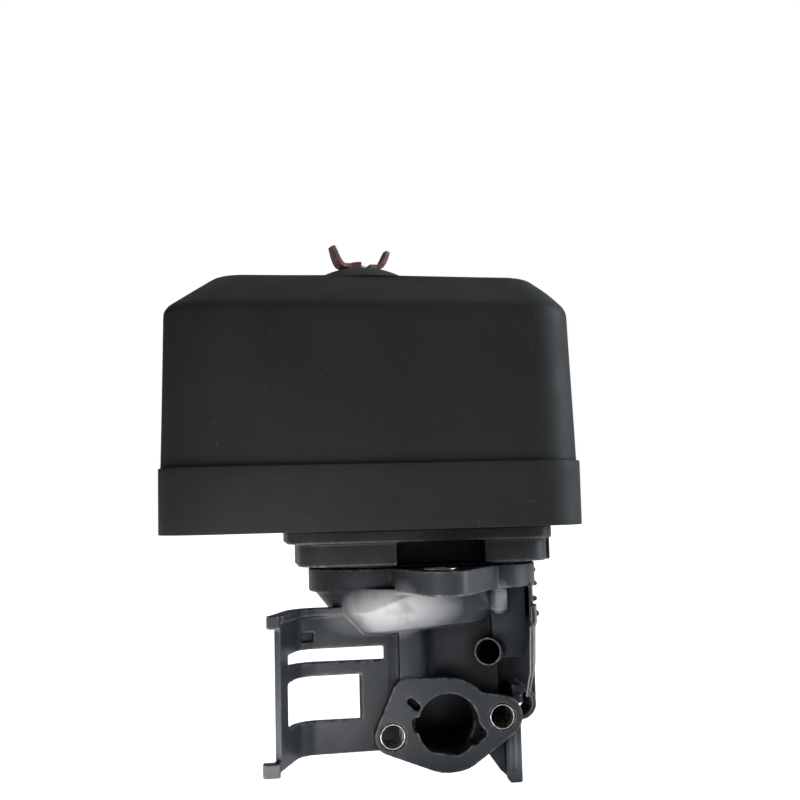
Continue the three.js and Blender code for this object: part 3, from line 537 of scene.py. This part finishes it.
COVER_WALL = 2.4
COVER_LOW, COVER_HIGH = span_of("cover")
WALL_SHIFT = -0.95
STEP_Z = 119.9
FOLD_Z = 175.2
BROW_Z = 182.2
TOP_Z = 188.6
TOP_FALL = 0.0072
DOME_HALF = 25.4
DOME_TOP_Z = 199.2
SEAT_HALF = 7.4
SEAT_Z = 193.4
SEAT_WALL = 1.7
HOLE_HALF = 5.0
WALL_CORNER = 18
WALL_TOP_CORNER = 17.8
BROW_CORNER = 13
TOP_CORNER = 8
INNER_CORNER = 15.6
INNER_BROW_CORNER = 11
INNER_TOP_CORNER = 6.3
BROW_SHIFT = 1.1
TOP_SHIFT = 2
FOOT_INSET = (0.85, 1.1)  # how far in each level lies from the skirt, in X and in Y
FOLD_INSET = (1.9, 2.2)
BROW_INSET = (9.5, 10.6)
TOP_INSET = (17.5, 19)
INNER_BROW_INSET = (11.4, 12.5)
INNER_TOP_INSET = (19.2, 20.7)
LONGEST_ROW = 5.0
SAG = 0.003  # how far the walls wander from true, as a share of their distance from the stud
SAG_SCALE = 0.034


def plan_ring(half_x, half_y, corner, shift, arc=10, long=26, short=18):
    """Plan of a rounded rectangle, anticlockwise from the lower right corner."""
    points = []
    x, y = half_x - corner, half_y - corner
    centres = [(x, -y), (x, y), (-x, y), (-x, -y)]
    for i, (cx, cy) in enumerate(centres):
        for k in range(arc + 1):
            angle = math.radians(90 * (i - 1 + k / arc))
            points.append(Vector((cx + corner * math.cos(angle) + shift, cy + corner * math.sin(angle))))
        steps = short if i % 2 == 0 else long
        nx, ny = centres[(i + 1) % 4]
        angle = math.radians(90 * i)
        start = points[-1]
        end = Vector((nx + corner * math.cos(angle) + shift, ny + corner * math.sin(angle)))
        points += [start.lerp(end, k / steps) for k in range(1, steps)]
    return points


def soft_path(knots, steps=4):
    """Rounds each knot of a path through (z, half x, half y, corner, shift, roundness, softness) rows."""
    rows = [np.array(k[:6], float) for k in knots]
    path = []
    for i, knot in enumerate(knots):
        here, before, after = rows[i], rows[i - 1], rows[(i + 1) % len(rows)]
        reach_back = np.linalg.norm((before - here)[:2])
        reach_on = np.linalg.norm((after - here)[:2])
        back = min(knot[6] / max(reach_back, FLAT), LONGEST_TRIM)
        ahead = min(knot[6] / max(reach_on, FLAT), LONGEST_TRIM)
        start, end = here + (before - here) * back, here + (after - here) * ahead
        for k in range(steps + 1):
            t = k / steps
            path.append(start * (1 - t) ** 2 + here * 2 * t * (1 - t) + end * t**2)
    return path


def spread(path, longest):
    """Adds rows to a closed path wherever two neighbours lie further apart than longest."""
    out = []
    for i, here in enumerate(path):
        after = path[(i + 1) % len(path)]
        parts = max(1, math.ceil(np.linalg.norm((after - here)[:2]) / longest))
        out += [here + (after - here) * k / parts for k in range(parts)]
    return out


def dome_rows(inset, from_radius, to_radius, steps):
    """Rows of the spherical dome between two radii."""
    rise = DOME_TOP_Z - TOP_Z
    sphere = (DOME_HALF**2 + rise**2) / (2 * rise)
    centre = DOME_TOP_Z - sphere
    rows = []
    for k in range(steps + 1):
        radius = from_radius + (to_radius - from_radius) * k / steps
        height = centre + math.sqrt((sphere - inset) ** 2 - radius**2)
        rows.append((height, radius, radius, 1, 0, 1, 0))
    return rows


def cover_shell():
    """Shell lofted round its section: up the outside, over the dome, through the seat and down the inside."""
    skirt = COVER_LOW.z
    wall = COVER_WALL
    half, deep = COVER_HIGH.x, COVER_HIGH.y
    outer = [
        (skirt, half, deep, WALL_CORNER, -STUD_X, 0, 0.7),
        (STEP_Z, half, deep, WALL_CORNER, -STUD_X, 0, 0.5),
        (STEP_Z + 0.15, half - FOOT_INSET[0], deep - FOOT_INSET[1], WALL_TOP_CORNER, WALL_SHIFT, 0, 0.15),
        (FOLD_Z, half - FOLD_INSET[0], deep - FOLD_INSET[1], WALL_CORNER, WALL_SHIFT, 0, 2.6),
        (BROW_Z, half - BROW_INSET[0], deep - BROW_INSET[1], BROW_CORNER, BROW_SHIFT, 0, 4),
        (TOP_Z, half - TOP_INSET[0], deep - TOP_INSET[1], TOP_CORNER, TOP_SHIFT, 0, 2.6),
        (TOP_Z, DOME_HALF + 0.8, DOME_HALF + 0.8, TOP_CORNER, 0, 1, 0.5),
    ]
    crown = dome_rows(0, DOME_HALF - 0.3, SEAT_HALF + 1.0, 9)
    mouth = [
        (crown[-1][0] + 0.1, SEAT_HALF, SEAT_HALF, 1, 0, 1, 0.5),
        (SEAT_Z, SEAT_HALF, SEAT_HALF, 1, 0, 1, 0.3),
        (SEAT_Z, HOLE_HALF, HOLE_HALF, 1, 0, 1, 0.2),
        (SEAT_Z - SEAT_WALL, HOLE_HALF, HOLE_HALF, 1, 0, 1, 0.2),
        (SEAT_Z - SEAT_WALL, SEAT_HALF + 1.6, SEAT_HALF + 1.6, 1, 0, 1, 0.3),
    ]
    ceiling = dome_rows(wall, SEAT_HALF + 1.8, DOME_HALF - wall, 8)
    inner = [
        (TOP_Z - wall, DOME_HALF - wall + 0.6, DOME_HALF - wall + 0.6, TOP_CORNER, 0, 1, 0.6),
        (TOP_Z - wall, half - INNER_TOP_INSET[0], deep - INNER_TOP_INSET[1],
            INNER_TOP_CORNER, TOP_SHIFT, 0, 2),
        (BROW_Z - wall * 0.8, half - INNER_BROW_INSET[0], deep - INNER_BROW_INSET[1],
            INNER_BROW_CORNER, BROW_SHIFT, 0, 3),
        (FOLD_Z - wall / 2, half - FOLD_INSET[0] - wall, deep - FOLD_INSET[1] - wall,
            INNER_CORNER, WALL_SHIFT, 0, 2),
        (STEP_Z - wall, half - FOOT_INSET[0] - wall, deep - FOOT_INSET[1] - wall,
            INNER_CORNER, WALL_SHIFT, 0, 0.4),
        (STEP_Z - wall - 0.3, half - wall, deep - wall, INNER_CORNER, -STUD_X, 0, 0.3),
        (skirt, half - wall, deep - wall, INNER_CORNER, -STUD_X, 0, 0.6),
    ]
    rows = soft_path(outer) + [np.array(r[:6], float) for r in crown]
    rows += soft_path([crown[-1], *mouth, ceiling[0]])[5:-5]
    rows += [np.array(r[:6], float) for r in ceiling] + soft_path(inner)
    rows = spread(rows, LONGEST_ROW)
    circle = [p.normalized() for p in plan_ring(half - TOP_INSET[0], deep - TOP_INSET[1], TOP_CORNER, 0)]
    rings = []
    for z, half_x, half_y, corner, shift, roundness in rows:
        square = plan_ring(half_x, half_y, max(corner, 0.5), shift)
        fall = TOP_FALL * min(max((z - STEP_Z) / (FOLD_Z - STEP_Z), 0), 1) * (1 - roundness)
        ring = []
        for flat, ray in zip(square, circle):
            p = flat.lerp(ray * half_x, roundness)
            wave = 0.5 + 0.5 * noise.noise(Vector((p.x, p.y * 1.3, z)) * SAG_SCALE)
            p = p * (1 - SAG * wave * (1 - roundness))
            ring.append(Vector((p.x, p.y, z - p.x * fall)) * MM)
        rings.append(ring)
    piece = on_stud(lofted("cover_shell", rings, closed=True))
    dress(piece, COVER_LOOK, "cover", "cover_plastic", "cover", smooth=50)


def cover_grommet():
    """Rubber ring with a lip below and above the cover's seat."""
    low, high = span_of("cover_grommet")
    lip = 6.8
    waist = HOLE_HALF - 0.3
    profile = rounded([
        (STUD_BORE, low.z), (lip, low.z), (lip, low.z + 1.4), (waist, low.z + 1.5),
        (waist, high.z - 1.1), (lip, high.z - 1), (lip, high.z), (STUD_BORE, high.z)], 0.35)
    piece = on_stud(turned("cover_grommet_ring", profile, steps=48))
    dress(piece, RUBBER_LOOK, "cover", "rubber", "cover_grommet")


# ---------------------------------------------------------------- stud, nuts and washers

STUD_HALF = 2.85
THREAD_DEPTH = 0.42
PITCH = 1.0
STUD_BORE = 3.15
LOW_THREAD_FROM = 1
LOW_THREAD_TO = 23
HIGH_THREAD_Z = 148.0
STUD_POINT = 1.2
WING_REACH = 12.6
WING_THICK = 0.95
LEFT_WING_HIGH = 11.7
RIGHT_WING_HIGH = 10.6
COVER_NUT_TURN = 12
ELEMENT_NUT_TURN = 32
NUT_FLATS = 10.0
NUT_CHAMFER = 0.75
SCREW_HEAD_HALF = 4.0
SCREW_SHANK_HALF = 2.3
SCREW_HEAD_Z = 97.3
SCREW_PITCH = 1.4
SCREW_STEPS = 20


def centre_stud():
    """Rod with rolled M6 threads at both ends and a plain shank between them."""
    low, high = span_of("centre_stud")
    threads = [(low.z + LOW_THREAD_FROM, low.z + LOW_THREAD_TO), (HIGH_THREAD_Z, high.z - STUD_POINT)]
    shank = STUD_HALF - 0.25
    steps = 24
    heights = [low.z]
    while heights[-1] < high.z:
        inside = any(a - 0.5 <= heights[-1] <= b + 0.5 for a, b in threads)
        heights.append(min(heights[-1] + (PITCH / 8 if inside else 2.0), high.z))
    rings = []
    for height in heights:
        ring = []
        for i in range(steps):
            angle = 2 * math.pi * i / steps
            phase = (height / PITCH - i / steps) % 1.0
            ridge = min(1.0, 1.25 * abs(2 * phase - 1))
            radius = shank
            for a, b in threads:
                if a <= height <= b:
                    fade = min(1.0, (height - a) / PITCH, (b - height) / PITCH)
                    radius = shank + fade * (STUD_HALF - shank - THREAD_DEPTH * (1 - ridge))
            end = min(height - low.z, high.z - height)
            radius = min(radius, STUD_HALF - 0.7 + end)
            ring.append(Vector((radius * math.cos(angle), radius * math.sin(angle), height)) * MM)
        rings.append(ring)
    piece = on_stud(lofted("centre_stud_rod", rings))
    dress(piece, ZINC_LOOK, "base", "zinc_steel", "centre_stud", smooth=60)


def washer(name, node, body):
    """Stamped washer: a rolled upper edge and a sharper lower one."""
    low, high = span_of(node)
    rim = (high.x - low.x) / 2
    profile = rounded([
        (STUD_BORE, low.z, 0.12), (rim, low.z, 0.12), (rim, high.z, 0.35), (STUD_BORE, high.z, 0.35)], 0.2)
    piece = on_stud(turned(name, profile, steps=56))
    dress(piece, ZINC_LOOK, body, "zinc_steel", node)


def wing_sheet(side, z, high):
    """One pressed wing: a thick strip that runs out from the hub and bends up into a rounded blade."""
    path = rounded([
        (3.4, z + 3.5), (WING_REACH - 4.6, z + 3.6, 1.6), (WING_REACH - 3.0, z + 6.0, 2.4),
        (WING_REACH - 1.1, z + high - 0.3)], 1.5, steps=5, closed=False)
    stations = len(path)
    rings = []
    for i, (x, height_here) in enumerate(path):
        ahead = Vector(path[min(i + 1, stations - 1)]) - Vector(path[max(i - 1, 0)])
        across = Vector((-ahead.y, ahead.x)).normalized() * WING_THICK
        half = 3.0 + 0.5 * math.sin(i / (stations - 1) * math.pi)
        if i == stations - 1:
            half = 2.0
        elif i == stations - 2:
            half = 3.1
        ring = []
        for u, v in [(-1, -1), (1, -1), (1, 1), (-1, 1)]:
            ring.append(Vector((side * (x + across.x * v), half * u, height_here + across.y * v)) * MM)
        rings.append(ring)
    return rings


def wing_nut(name, node, body, turn):
    """Pressed wing nut: a low hub, a collar round its left half and two bent wings, melted into one skin."""
    z = span_of(node)[0].z
    hub = turned("hub", rounded([
        (STUD_BORE, z), (5.4, z, 0.4), (5.5, z + 1.2, 0.5), (5.0, z + 2.8, 0.6), (STUD_BORE, z + 2.8)], 0.3),
        steps=40)
    collar = turned("collar", rounded([
        (STUD_BORE, z + 1), (4.9, z + 1), (4.9, z + 4.9, 0.4), (STUD_BORE, z + 4.9, 0.3)], 0.2), steps=40)
    carve(collar, gathered("half", [block((-0.7, -12, z - 1), (12, 12, z + 12))]))
    shapes = [hub, collar]
    for side, high in [(-1, LEFT_WING_HIGH), (1, RIGHT_WING_HIGH)]:
        shapes.append(lofted("wing", wing_sheet(side, z, high)))
    whole = bpy.data.meshes.new(name)
    joined = bmesh.new()
    for shape in shapes:
        joined.from_mesh(shape.data)
    joined.to_mesh(whole)
    joined.free()
    discard(*shapes)
    piece = link(name, whole)
    bore = gathered("bore", [rod((0, 0, z - 1), (0, 0, z + 12), STUD_BORE)])
    cast(piece, voxel=0.2, smooth=2)
    carve(piece, bore)
    piece.data.transform(Matrix.Rotation(math.radians(turn), 4, "Z"))
    on_stud(piece)
    dress(piece, COPPERED_LOOK, body, "coppered_steel", node, smooth=60)


def hex_nut():
    """Hexagon nut with both faces chamfered round."""
    low, high = span_of("stud_nut")
    corner = NUT_FLATS / math.sqrt(3)
    prism = gathered("stud_hex_nut", [rod((0, 0, low.z), (0, 0, high.z), corner, steps=6)])
    cone = turned("chamfer", [
        (0, low.z), (NUT_FLATS / 2 - 0.1, low.z), (corner + 0.1, low.z + NUT_CHAMFER),
        (corner + 0.1, high.z - NUT_CHAMFER), (NUT_FLATS / 2 - 0.1, high.z), (0, high.z)], closed=False)
    carve(prism, cone, "INTERSECT")
    bore = turned("bore", [
        (0, low.z - 1), (STUD_BORE + 1.5, low.z - 1), (STUD_BORE, low.z + 0.5), (STUD_BORE, high.z - 0.5),
        (STUD_BORE + 1.5, high.z + 1), (0, high.z + 1)], closed=False)
    carve(prism, bore)
    on_stud(prism)
    dress(prism, ZINC_LOOK, "base", "zinc_steel", "stud_nut", smooth=25)


def tray_screw(number):
    """Cross-recessed pan screw with a threaded shank."""
    node = f"tray_screw_{number}"
    low, high = span_of(node)
    x, y = (low.x + high.x) / 2, (low.y + high.y) / 2
    head = SCREW_HEAD_HALF
    head_z = SCREW_HEAD_Z
    profile = rounded([
        (0.01, head_z), (head, head_z, 0.2), (head, head_z + 1.2, 0.9), (head * 0.6, high.z, 1.2),
        (0.01, high.z)], 0.2, closed=False)
    piece = turned(f"tray_screw_{number}_head", profile, (x, y), 40, closed=False)
    for reach in [(2.2, 0.45), (0.45, 2.2)]:
        cutter = gathered("recess", [
            block((x - reach[0], y - reach[1], high.z - 1.3), (x + reach[0], y + reach[1], high.z + 1))])
        carve(piece, cutter)
    dress(piece, ZINC_LOOK, "base", "zinc_steel", node, smooth=30)
    rings = []
    height = low.z
    while height < head_z + 0.4:
        ring = []
        for i in range(SCREW_STEPS):
            angle = 2 * math.pi * i / SCREW_STEPS
            phase = (height / SCREW_PITCH - i / SCREW_STEPS) % 1.0
            radius = SCREW_SHANK_HALF - 0.5 + 0.5 * max(0.0, 1 - 2.4 * abs(phase - 0.5))
            radius = min(radius, 0.9 + (height - low.z) * 0.8)
            ring.append(Vector((x + radius * math.cos(angle), y + radius * math.sin(angle), height)) * MM)
        rings.append(ring)
        height += 0.2
    thread = lofted(f"tray_screw_{number}_thread", rings)
    dress(thread, ZINC_LOOK, "base", "zinc_steel", smooth=60)


# ---------------------------------------------------------------- bushes

BUSH_BORE = 4.1
BUSH_WOBBLE = 0.03
STAY_BORE = 3.3
STAY_SLEEVE = 5.0


def ring_bush(name, node):
    """Pressed steel bush in the flange: rounded lips, a chamfered bore and a slightly uneven rim."""
    low, high = span_of(node)
    x, z = (low.x + high.x) / 2, (low.z + high.z) / 2
    outer = (high.x - low.x) / 2
    front, back = low.y, high.y
    profile = rounded([
        (BUSH_BORE + 0.15, front), (outer, front, 0.2), (outer, back), (BUSH_BORE, back),
        (BUSH_BORE, front + 0.5)], 0.15, steps=3)
    piece = turned(name, profile, steps=56, wobble=BUSH_WOBBLE)
    for vertex in piece.data.vertices:
        radial_x, radial_z, along = vertex.co
        vertex.co = Vector((x * MM + radial_x, along, z * MM + radial_z))
    piece.data.flip_normals()
    dress(piece, BUSH_LOOK, "base", "zinc_steel", node, smooth=40)


def stay_bush():
    """Steel sleeve in the front lobe with a thin flange on top."""
    low, high = span_of("stay_bush")
    x, y = (low.x + high.x) / 2, (low.y + high.y) / 2
    flange = (high.x - low.x) / 2
    profile = rounded([
        (STAY_BORE, low.z), (STAY_SLEEVE, low.z), (STAY_SLEEVE, high.z - 0.5, 0.05),
        (flange, high.z - 0.4, 0.1), (flange, high.z, 0.2), (STAY_BORE, high.z, 0.4)], 0.25, steps=3)
    piece = turned("stay_bush_sleeve", profile, (x, y), 56)
    dress(piece, BUSH_LOOK, "base", "zinc_steel", "stay_bush", smooth=40)


# ---------------------------------------------------------------- filter element

FOLDS = 84
FOLD_HALF = (40.4, 21.4)  # half sizes of the oblong that the inner folds lie on
FOLD_THICK = 0.28
FOAM_INNER_HALF = (55.9, 36.9)
FOAM_SWELL = 0.35  # room left inside the foam's box for its uneven skin
BASE_CAP_INNER_HALF = (38, 21)
SEAL_INNER_HALF = (43, 26)
OBLONG_CORNER = 0.86  # corner radius as a share of the half width


def oblong_ring(half, inset, z, wave=0.0):
    """Points round the element's oblong plan at one height."""
    x, y = half[0] - inset, half[1] - inset
    corner = max(half[1] * OBLONG_CORNER - inset, 1)
    ring = []
    for p in plan_ring(x, y, corner, 0, arc=16, long=30, short=4):
        reach = 1 + wave * noise.noise(Vector((p.x, p.y, z)) * 0.05)
        ring.append(Vector((p.x * reach, p.y * reach, z)) * MM)
    return ring


def half_of(node):
    """Half sizes of a node in X and Y, in millimetres."""
    low, high = span_of(node)
    return (high.x - low.x) / 2, (high.y - low.y) / 2


def oblong_sleeve(name, node, inner_half, soft, look, slot, wave=0.0, rows=1):
    """A ring of oblong plan with rounded rims."""
    low, high = span_of(node)
    outer_half = half_of(node)
    depth = outer_half[0] - inner_half[0]
    corners = [(0.0, low.z), (0.0, high.z), (depth, high.z), (depth, low.z)]
    path = rounded(corners, soft, steps=4)
    dense = []
    for i, here in enumerate(path):
        after = path[(i + 1) % len(path)]
        parts = rows if abs(after[1] - here[1]) > (high.z - low.z) / 2 else 1
        dense += [tuple(Vector(here).lerp(Vector(after), k / parts)) for k in range(parts)]
    pull = FOAM_SWELL if wave else 0.0
    rings = [oblong_ring(outer_half, inset + pull, z, wave) for inset, z in dense]
    piece = on_stud(lofted(name, rings, closed=True))
    dress(piece, look, "base", slot, node, smooth=50)


def pleated_paper():
    """Zigzag paper between the two end caps."""
    low, high = span_of("element_paper")
    outer = oblong_ring(half_of("element_paper"), 0.6, 0)
    inner = oblong_ring(FOLD_HALF, 0, 0)

    def along(ring, share):
        lengths = [0.0]
        for i, p in enumerate(ring):
            lengths.append(lengths[-1] + (ring[(i + 1) % len(ring)] - p).length)
        want = share % 1.0 * lengths[-1]
        i = max(k for k in range(len(ring)) if lengths[k] <= want)
        part = (want - lengths[i]) / (lengths[i + 1] - lengths[i])
        return ring[i].lerp(ring[(i + 1) % len(ring)], part) / MM

    spine = []
    for fold in range(FOLDS):
        spine.append(along(outer, fold / FOLDS))
        spine.append(along(inner, (fold + 0.5) / FOLDS))
    rings = []
    for z, side in [(low.z, -1), (high.z, -1), (high.z, 1), (low.z, 1)]:
        ring = []
        for p in spine:
            shift = Vector((p.x, p.y)).normalized() * FOLD_THICK * side
            ring.append(Vector((p.x + shift.x, p.y + shift.y, z)) * MM)
        rings.append(ring)
    piece = on_stud(lofted("element_pleats", rings, closed=True))
    dress(piece, PAPER_LOOK, "base", "filter_paper", "element_paper", smooth=20)


def top_cap():
    """Cast end cap with a raised bead near its rim and a boss round the stud."""
    low, high = span_of("element_top_cap")
    half = half_of("element_top_cap")
    profile = rounded([
        (0, low.z), (0, high.z - 0.8, 1.2), (2.4, high.z, 0.8), (5.2, high.z, 0.8),
        (6.6, high.z - 1.0)], 0.8, steps=3, closed=False)
    rings = [oblong_ring(half, inset, z) for inset, z in profile]
    ray = [p.to_2d().normalized() for p in rings[0]]
    boss = [
        (11.0, high.z - 1.0), (9.6, high.z - 0.5), (8.8, high.z - 0.02), (3.4, high.z),
        (STUD_BORE, high.z - 0.2), (STUD_BORE, low.z)]
    for radius, z in boss:
        rings.append([Vector((r.x * radius, r.y * radius, z)) * MM for r in ray])
    piece = on_stud(lofted("element_top_cap_plate", rings, closed=True))
    dress(piece, POTTING_LOOK, "base", "potting_compound", "element_top_cap", smooth=40)


def filter_element():
    oblong_sleeve(
        "foam_sleeve_ring", "foam_sleeve", FOAM_INNER_HALF, 2.6, FOAM_LOOK, "filter_foam",
        wave=0.006, rows=14)
    oblong_sleeve(
        "element_base_cap_ring", "element_base_cap", BASE_CAP_INNER_HALF, 0.8, POTTING_LOOK,
        "potting_compound")
    oblong_sleeve("element_seal_ring", "element_seal", SEAL_INNER_HALF, 0.9, RUBBER_LOOK, "rubber")
    pleated_paper()
    top_cap()


# ---------------------------------------------------------------- castings


def tray_casting():
    piece = cad_copy("tray", "tray_casting")
    cast(piece, voxel=0.45, smooth=2, keep=0.4)
    dress(piece, TRAY_LOOK, "base", "tray_plastic", "tray", smooth=70)


def elbow_casting():
    piece = cad_copy("elbow", "elbow_casting")
    cast(piece, voxel=0.42, smooth=2, keep=0.4)
    dress(piece, ELBOW_LOOK, "base", "elbow_plastic", "elbow", smooth=70)


def kept_nodes():
    """CAD nodes whose plain shape is right keep it and get a finish."""
    for node, look in [("tray_gasket", RUBBER_LOOK), ("element_screen", ZINC_LOOK)]:
        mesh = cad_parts[node].data
        mesh.materials.clear()
        mesh.materials.append(look)


# ---------------------------------------------------------------- stage, lights and camera

CAMERA_PLACE = Vector((STUD_X - 45.3, -428.0, 104.5))
CAMERA_YAW = math.radians(8)
CAMERA_PITCH = math.radians(5.6)
CAMERA_ROLL = math.radians(1.44)
CAMERA_LENS = 49.5
SENSOR = 36.0
FLOOR_RADIUS = 6.0
FLOOR_DROP = 0.5 * MM


def camera():
    ahead = Vector((
        math.sin(CAMERA_YAW) * math.cos(CAMERA_PITCH),
        math.cos(CAMERA_YAW) * math.cos(CAMERA_PITCH),
        math.sin(CAMERA_PITCH)))
    level = Vector((math.cos(CAMERA_YAW), -math.sin(CAMERA_YAW), 0))
    up = level.cross(ahead)
    right = level * math.cos(CAMERA_ROLL) - up * math.sin(CAMERA_ROLL)
    top = level * math.sin(CAMERA_ROLL) + up * math.cos(CAMERA_ROLL)
    data = bpy.data.cameras.new("camera")
    data.lens = CAMERA_LENS
    data.sensor_width = SENSOR
    data.clip_start = 0.01
    holder = bpy.data.objects.new("camera", data)
    turn = Matrix((right, top, -ahead)).transposed().to_4x4()
    holder.matrix_world = Matrix.Translation(CAMERA_PLACE * MM) @ turn
    bpy.context.scene.collection.objects.link(holder)
    bpy.context.scene.camera = holder


def softbox(name, place, target, width, height, power, colour=(1, 1, 1)):
    data = bpy.data.lights.new(name, "AREA")
    data.shape = "RECTANGLE"
    data.size, data.size_y = width, height
    data.energy = power
    data.color = colour
    light = bpy.data.objects.new(name, data)
    light.location = place
    light.rotation_mode = "QUATERNION"
    light.rotation_quaternion = (Vector(target) - Vector(place)).to_track_quat("-Z", "Y")
    light.visible_camera = False
    bpy.context.scene.collection.objects.link(light)


def overhead():
    """Wide soft light from above."""
    data = bpy.data.lights.new("overhead", "SUN")
    data.energy = 0.55
    data.angle = math.radians(100)
    light = bpy.data.objects.new("overhead", data)
    light.rotation_euler = (math.radians(-8), math.radians(6), 0)
    bpy.context.scene.collection.objects.link(light)


def floor():
    """Pale floor, a disc so wide that its rim lies at the horizon."""
    shape = bmesh.new()
    bmesh.ops.create_circle(shape, cap_ends=True, radius=FLOOR_RADIUS, segments=96)
    mesh = bpy.data.meshes.new("floor")
    shape.to_mesh(mesh)
    shape.free()
    look = Look("floor_paper")
    tone = look.span(look.grain(0.4, 2.0), 0.3, 0.7)
    paper = look.blend(tone, grey(0.86), grey(0.9))
    look.set(Base_Color=paper, Roughness=0.75, Specular_IOR_Level=0.2)
    seen = look.node("ShaderNodeLightPath").outputs["Is Camera Ray"]
    glow = look.maths("ADD", look.maths("MULTIPLY", seen, 0.65), 0.3)
    look.set(Emission_Color=grey(1.0), Emission_Strength=glow)
    mesh.materials.append(look.material)
    plane = link("floor", mesh)
    plane.location.z = -FLOOR_DROP


def sky():
    """White to the camera; for the object dim all round, and brighter and bluer at the right."""
    world = bpy.data.worlds.new("studio")
    bpy.context.scene.world = world
    world.use_nodes = True
    tree = world.node_tree
    tree.nodes.clear()
    output = tree.nodes.new("ShaderNodeOutputWorld")
    path = tree.nodes.new("ShaderNodeLightPath")
    choose = tree.nodes.new("ShaderNodeMixShader")
    seen = tree.nodes.new("ShaderNodeBackground")
    lit = tree.nodes.new("ShaderNodeBackground")
    place = tree.nodes.new("ShaderNodeTexCoord")
    parts = tree.nodes.new("ShaderNodeSeparateXYZ")
    ramp = tree.nodes.new("ShaderNodeValToRGB")
    ramp.color_ramp.elements[0].position = 0.3
    ramp.color_ramp.elements[0].color = tint(0.055, 0.046, 0.046)
    ramp.color_ramp.elements[1].position = 1.0
    ramp.color_ramp.elements[1].color = tint(0.42, 0.5, 0.56)
    shift = tree.nodes.new("ShaderNodeMapRange")
    shift.inputs["From Min"].default_value = -1.0
    seen.inputs["Color"].default_value = grey(1.0)
    tree.links.new(place.outputs["Generated"], parts.inputs[0])
    tree.links.new(parts.outputs["X"], shift.inputs["Value"])
    tree.links.new(shift.outputs["Result"], ramp.inputs["Fac"])
    tree.links.new(ramp.outputs["Color"], lit.inputs["Color"])
    tree.links.new(path.outputs["Is Camera Ray"], choose.inputs[0])
    tree.links.new(lit.outputs[0], choose.inputs[1])
    tree.links.new(seen.outputs[0], choose.inputs[2])
    tree.links.new(choose.outputs[0], output.inputs[0])


def studio():
    bpy.context.scene.view_settings.view_transform = "Standard"
    sky()
    floor()
    overhead()
    softbox(
        "left_light", place=(-0.9, -0.5, 0.5), target=(0, 0, 0.09), width=0.5, height=0.9, power=0.6,
        colour=(1.0, 0.93, 0.9))
    softbox(
        "right_light", place=(1.0, -0.1, 0.4), target=(0, 0, 0.08), width=0.5, height=0.8, power=7.0,
        colour=(0.84, 0.92, 1.0))
    softbox(
        "low_card", place=(-0.06, -0.115, 0.004), target=(-0.05, -0.1, 1), width=0.16, height=0.12, power=0.4)
    camera()


# ---------------------------------------------------------------- assembly

cover_shell()
cover_grommet()
centre_stud()
washer("cover_washer_ring", "cover_washer", "cover_washer")
washer("element_washer_ring", "element_washer", "element_washer")
washer("stud_washer_ring", "stud_washer", "base")
wing_nut("cover_wing_nut_pressing", "cover_wing_nut", "cover_wing_nut", COVER_NUT_TURN)
wing_nut("element_wing_nut_pressing", "element_wing_nut", "element_wing_nut", ELEMENT_NUT_TURN)
hex_nut()
for screw in (1, 2, 3, 4):
    tray_screw(screw)
ring_bush("flange_bush_left_ring", "flange_bush_left")
ring_bush("flange_bush_right_ring", "flange_bush_right")
stay_bush()
filter_element()
tray_casting()
elbow_casting()
kept_nodes()
studio()
